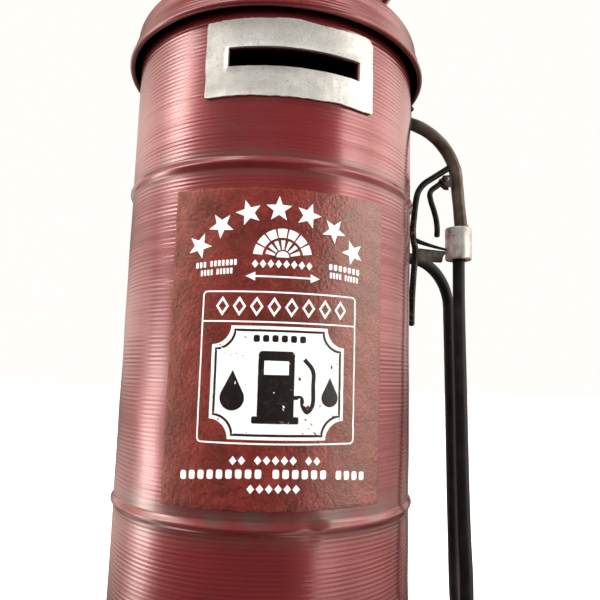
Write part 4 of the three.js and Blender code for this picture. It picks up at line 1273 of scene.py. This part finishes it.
# ---------------------------------------------------------------- guard, strap and trigger
GUARD_LINE = [[20.4, -19.8], [17.0, -22.2], [12.4, -25.4], [9.0, -27.9], [6.4, -31.6], [5.2, -36.6], [4.5, -43],
              [4.0, -49.2], [4.3, -53.6], [5.0, -57.2], [4.8, -62.5], [4.2, -71], [3.7, -80], [3.5, -90]]
guard_path = in_plane(smooth(GUARD_LINE, 7))
piece("guard_wire", [rings(swept(guard_path, 1.35, 18))], IRON, "trigger_guard", "nozzle")


def plate_skin(outline, half, bevel=0.25, middle=None):
    """A flat plate in the nozzle's plane over an outline of (out, up) points, its edges eased: rings grow from the
    middle of one side to its edge, round it, and back to the middle of the other side."""
    p = dense(outline, 0.8)
    centre = p.mean(0) if middle is None else np.asarray(middle, float)
    shares = np.array([0.3, 0.65, 1, 1, 1, 1, 0.65, 0.3])
    inset = np.array([0, 0, bevel, 0, 0, bevel, 0, 0])
    depth = np.array([1, 1, 1, 1 - bevel / half, -1 + bevel / half, -1, -1, -1]) * half
    away = (p - centre) / np.linalg.norm(p - centre, axis=1)[:, None]
    flat = centre + shares[:, None, None] * (p - centre) - inset[:, None, None] * away
    y = np.broadcast_to(depth[:, None], flat.shape[:2])
    return rings(np.stack([flat[..., 0], y, flat[..., 1]], -1) + NOZZLE)


STRAP = [[5.2, -57.0], [5.2, -62.6], [16.8, -62.6], [17.3, -60.2], [18.3, -58.9], [18.3, -57.7], [12.0, -57.4]]
strap_arm = smooth([[4.6, -53.3], [8.0, -54.4], [13.0, -55.7], [19.0, -56.9]], 8)
arm_radius = np.linspace(1.15, 0.5, len(strap_arm))
piece("guard_plate", [plate_skin(STRAP, 1.15, 0.3, (11.5, -60.0))], STEEL, "guard_strap", "nozzle")
piece("guard_arm", [rings(swept(in_plane(strap_arm), arm_radius, 14))], IRON, (), "nozzle")

PIVOT = np.array([18.0, -25.9])


def about_pivot(profile, sides=24):
    """A small turned piece about the trigger's pin, which lies along Y."""
    x, y, z = np.moveaxis(lathe(profile, sides), -1, 0)
    return np.stack([x + PIVOT[0], z, y + PIVOT[1]], -1) + NOZZLE


EYE_HALF, EAR_T = 1.3, 0.9
EAR = [[16.8, -24.3], [16.0, -25.9], [16.8, -27.6], [18.9, -29.3], [20.9, -29.3], [20.9, -24.6], [19.6, -23.9]]
ears = []
for low in (EYE_HALF + GAP, -EYE_HALF - GAP - EAR_T):
    points, quads, tris = plate_skin(EAR, EAR_T / 2, 0.2, (18.6, -26.6))
    ears.append((points + [0, low + EAR_T / 2, 0], quads, tris))
piece("clevis_ears", ears, STEEL, "trigger_clevis", "nozzle")
pin_end = EYE_HALF + GAP + EAR_T + GAP
pin_profile = np.vstack([
    [[0.05, -pin_end - 0.9]], arc(0.8, -pin_end - 0.45, 0.45, -90, 0, 5), [[1.2, -pin_end + 0.05], [0.58, -pin_end]],
    [[0.58, pin_end], [1.2, pin_end - 0.05]], arc(0.8, pin_end + 0.45, 0.45, 0, 90, 5), [[0.05, pin_end + 0.9]],
])
piece("pivot_rivet", [rings(about_pivot(pin_profile))], STEEL, "trigger_pin", "nozzle")

TRIGGER_LINE = [[17.0, -26.8], [14.6, -28.7], [12.3, -30.7], [11.6, -32.4], [12.0, -35.2], [13.4, -39.6],
                [14.5, -44], [14.9, -48], [14.8, -50.9]]
trigger_path = in_plane(smooth(TRIGGER_LINE, 7))
eye = np.array([[0.75, -1.25], [1.5, -1.25], [1.65, -1.05], [1.65, 1.05], [1.5, 1.25], [0.75, 1.25]])
piece("trigger_lever", [rings(swept(trigger_path, 1.22, 18)), rings(about_pivot(eye), ends=False)], IRON,
      "trigger", "trigger")


# ---------------------------------------------------------------- flange, screws and grommet
def flange_skin():
    """The oval plate: rings between the spout's hole and a rounded outline, wrapped on the drum's side."""
    half_y = (flange_high[1] - flange_low[1]) / 2
    half_z = (flange_high[2] - flange_low[2]) / 2
    a = np.linspace(0, 2 * pi, 96, endpoint=False)
    power = 2.6
    edge = (abs(np.sin(a) / half_y) ** power + abs(np.cos(a) / half_z) ** power) ** (-1 / power)
    shares = np.array([0, 0.35, 0.7, 0.97, 1, 1, 0.6, 0])
    depth = np.array([1.15, 1.15, 1.15, 1.15, 0.95, 0.1, 0.1, 0.1])
    r = SPOUT_R + 0.9 + shares[:, None] * (edge - SPOUT_R - 0.9)
    y, z = r * np.sin(a), r * np.cos(a) + SPOUT_Z
    out = np.sqrt((BODY_R + GAP + depth[:, None]) ** 2 - y**2)
    return rings(np.stack([out, y, z], -1), ends=False)


piece("oval_flange", [flange_skin()], IRON, "spout_flange")


def sideways(rows, z):
    """Turns points made about +Z until +Z points along +X, at a height."""
    x, y, out = np.moveaxis(rows, -1, 0)
    return np.stack([out, y, x + z], -1)


seat = BODY_R + GAP + 1.2  # where the screws' heads sit on the plate


def screw_profile(crown):
    """A screw in section: tapered end, shank, and a domed head that stands crown above its seat."""
    return np.vstack([
        [[0.1, seat - 5], [0.9, seat - 4.6], [0.9, seat + 0.2], [1.4, seat + 0.3]],
        arc(0.2, 0, 1.2, 0, 90, 8) * [1, (crown - 1.2) / 1.2] + [0, seat + 0.4],
        [[0.1, seat + crown - 0.8]],
    ])


# the upper screw stands proud; the lower one is driven nearly flat
for up, crown, name in ((6.2, 3.5, "top"), (-6.2, 1.6, "bottom")):
    piece(f"screw_{name}", [rings(sideways(lathe(screw_profile(crown), 32), SPOUT_Z + up))], IRON,
          f"flange_screw_{name}")


def grommet_skin():
    """The rubber grommet: a flange on each side of the wall and a tapered nose that the hose comes out of."""
    wall = BODY_R - SHEET
    profile = np.vstack([
        [[0.2, wall - 2.1], [5.9, wall - 2.1]], arc(5.9, wall - 1.45, 0.3, -60, 60, 4), [[4.1, wall - 0.5]],
        [[4.1, BODY_R + 0.35]], arc(5.7, BODY_R + 0.95, 0.5, -80, 70, 7),
        smooth([[4.6, BODY_R + 1.8], [3.9, BODY_R + 2.5], [3.45, BODY_R + 3.6], [3.3, BODY_R + 4.4]], 4),
        [[2.9, BODY_R + 4.65], [0.2, BODY_R + 4.65]],
    ])
    x, y, out = np.moveaxis(lathe(profile, 56), -1, 0)
    c, s = np.sin(PORT), -np.cos(PORT)
    return rings(np.stack([out * c - y * s, out * s + y * c, x + PORT_Z], -1))


piece("port_grommet", [grommet_skin()], RUBBER, "hose_grommet")

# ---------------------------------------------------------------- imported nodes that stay
for node in ("closing_disc", "globe_bolt", "globe_washer", "globe_nut"):
    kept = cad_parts[node]
    kept.data.materials.clear()
    kept.data.materials.append(STEEL)


# ---------------------------------------------------------------- studio
def flat_panel(name, corners, material):
    """A one-faced panel of the set."""
    mesh = bpy.data.meshes.new(name)
    mesh.from_pydata([tuple(np.array(c) * MM) for c in corners], [], [tuple(range(len(corners)))])
    mesh.materials.append(material)
    made = bpy.data.objects.new(name, mesh)
    bpy.context.scene.collection.objects.link(made)
    made.visible_glossy = False


FLOOR_HALF = 4000
flat_panel("floor", [(-FLOOR_HALF, -FLOOR_HALF, 0), (FLOOR_HALF, -FLOOR_HALF, 0), (FLOOR_HALF, FLOOR_HALF, 0),
                     (-FLOOR_HALF, FLOOR_HALF, 0)], FLOOR)


def soft_light(name, place, aim, size, watts):
    """A soft box: a square of light at a place, facing a point, both in millimetres."""
    lamp = bpy.data.lights.new(name, "AREA")
    lamp.shape, lamp.size, lamp.energy = "SQUARE", size * MM, watts
    made = bpy.data.objects.new(name, lamp)
    bpy.context.scene.collection.objects.link(made)
    back = np.array(place, float) - aim
    back /= np.linalg.norm(back)
    right = np.cross([0, 0, 1], back)
    right /= np.linalg.norm(right)
    frame_of = np.eye(4)
    frame_of[:3, :3] = np.stack([right, np.cross(back, right), back], -1)
    frame_of[:3, 3] = np.array(place) * MM
    made.matrix_world = Matrix(frame_of.tolist())
    made.visible_glossy = False


soft_light("overhead", (0, -350, 1100), (0, 0, 150), 500, 13)
soft_light("front_fill", (-250, -1100, 500), (0, 0, 150), 500, 9)


# the room at each way round from the front, in degrees towards +X: how bright, and how warm (0 white, 1 pink).
# It is dim ahead, with a window at each side.
ROOM = [(-180, 0.20, 0.8), (-150, 0.28, 0.8), (-125, 0.60, 0.8), (-106, 0.80, 0.5), (-97, 1.50, 0.2),
        (-89, 2.90, 0.0), (-80, 3.10, 0.0), (-73, 1.05, 0.1), (-65, 0.34, 0.3), (-48, 0.16, 0.3), (-10, 0.05, 0.3),
        (30, 0.07, 0.3), (46, 0.22, 0.2), (53, 2.0, 0.0), (64, 1.75, 0.0), (76, 1.15, 0.1), (95, 1.25, 0.5),
        (120, 0.60, 0.8), (150, 0.26, 0.8), (180, 0.20, 0.8)]
ROOM_PEAK = max(value for _, value, _ in ROOM)
ROOM_SLANT = 0.40  # the windows lean: how far they shift round, in radians, for each unit of height
ROOM_SLANT_FROM = 0.375  # height of the line of sight at which they stand as listed
ROOM_LIGHT = 2.8 * ROOM_PEAK


# the left window's two panes with a bar between: height of the line of sight, and how bright
PANES = [(-0.30, 1.1), (-0.20, 1.5), (-0.12, 2.15), (-0.05, 1.8), (0.0, 0.9), (0.05, 0.45), (0.10, 0.32),
         (0.25, 0.32), (0.31, 0.6), (0.38, 1.1), (0.45, 1.2)]


def studio_world():
    """A white room, dim on the side that the object faces: brightness follows the way round, and falls off below
    the horizon. The eye itself sees plain white."""
    world = bpy.data.worlds.new("white_room")
    bpy.context.scene.world = world
    world.use_nodes = True
    tree = world.node_tree
    sight = add(tree, "TexCoord", out="Generated")
    x, y, z = (add(tree, "SeparateXYZ", sight, out=axis) for axis in "XYZ")
    turn = add(tree, "Math", x, add(tree, "Math", y, -1.0, **TIMES), operation="ARCTAN2")
    lean = add(tree, "Math", z, -ROOM_SLANT, ROOM_SLANT_FROM * ROOM_SLANT, **TIMES_PLUS)
    share = add(tree, "Math", add(tree, "Math", turn, lean), 0.5 / pi, 0.5, **TIMES_PLUS)
    light = add(tree, "ValToRGB", share, stops=[
        (angle / 360 + 0.5, [value / ROOM_PEAK * t for t in (1, 0.97 - 0.3 * warmth, 0.91 - 0.32 * warmth)])
        for angle, value, warmth in ROOM
    ])
    panes = add(tree, "ValToRGB", add(tree, "Math", z, 0.5),
                stops=[(at + 0.5, [value / 2] * 3) for at, value in PANES])
    on_left = add(tree, "Math", add(tree, "MapRange", turn, -0.9, -1.2, **SMOOTH),
                  add(tree, "MapRange", turn, -2.0, -1.75, **SMOOTH), **TIMES)
    left = add(tree, "Math", add(tree, "Math", panes, 2.0, -1.0, **TIMES_PLUS), on_left, 1.0, **TIMES_PLUS)
    # darker towards the floor and the ceiling, with blinds across the windows
    low = add(tree, "MapRange", z, -0.7, 0.5, 0.25, 1.0, **SMOOTH)
    high = add(tree, "MapRange", z, 0.42, 0.75, 1.0, 0.40, **SMOOTH)
    blinds = add(tree, "Math", add(tree, "Math", z, 21.0, **TIMES), operation="SINE")
    fall = add(tree, "Math", blinds, 0.35, 0.8, **TIMES_PLUS)
    for part in (low, high, left):
        fall = add(tree, "Math", fall, part, **TIMES)
    shaded = add(tree, "Mix", 1.0, light, fall, blend_type="MULTIPLY", **COLOURS)
    seen = add(tree, "LightPath", out="Is Camera Ray")
    background = tree.nodes["Background"]
    tree.links.new(add(tree, "Mix", seen, shaded, "#fffefa", **COLOURS), background.inputs["Color"])
    strength = add(tree, "Math", seen, 1.0 - ROOM_LIGHT, ROOM_LIGHT, **TIMES_PLUS)
    tree.links.new(strength, background.inputs["Strength"])


studio_world()
bpy.context.scene.view_settings.view_transform = "Standard"
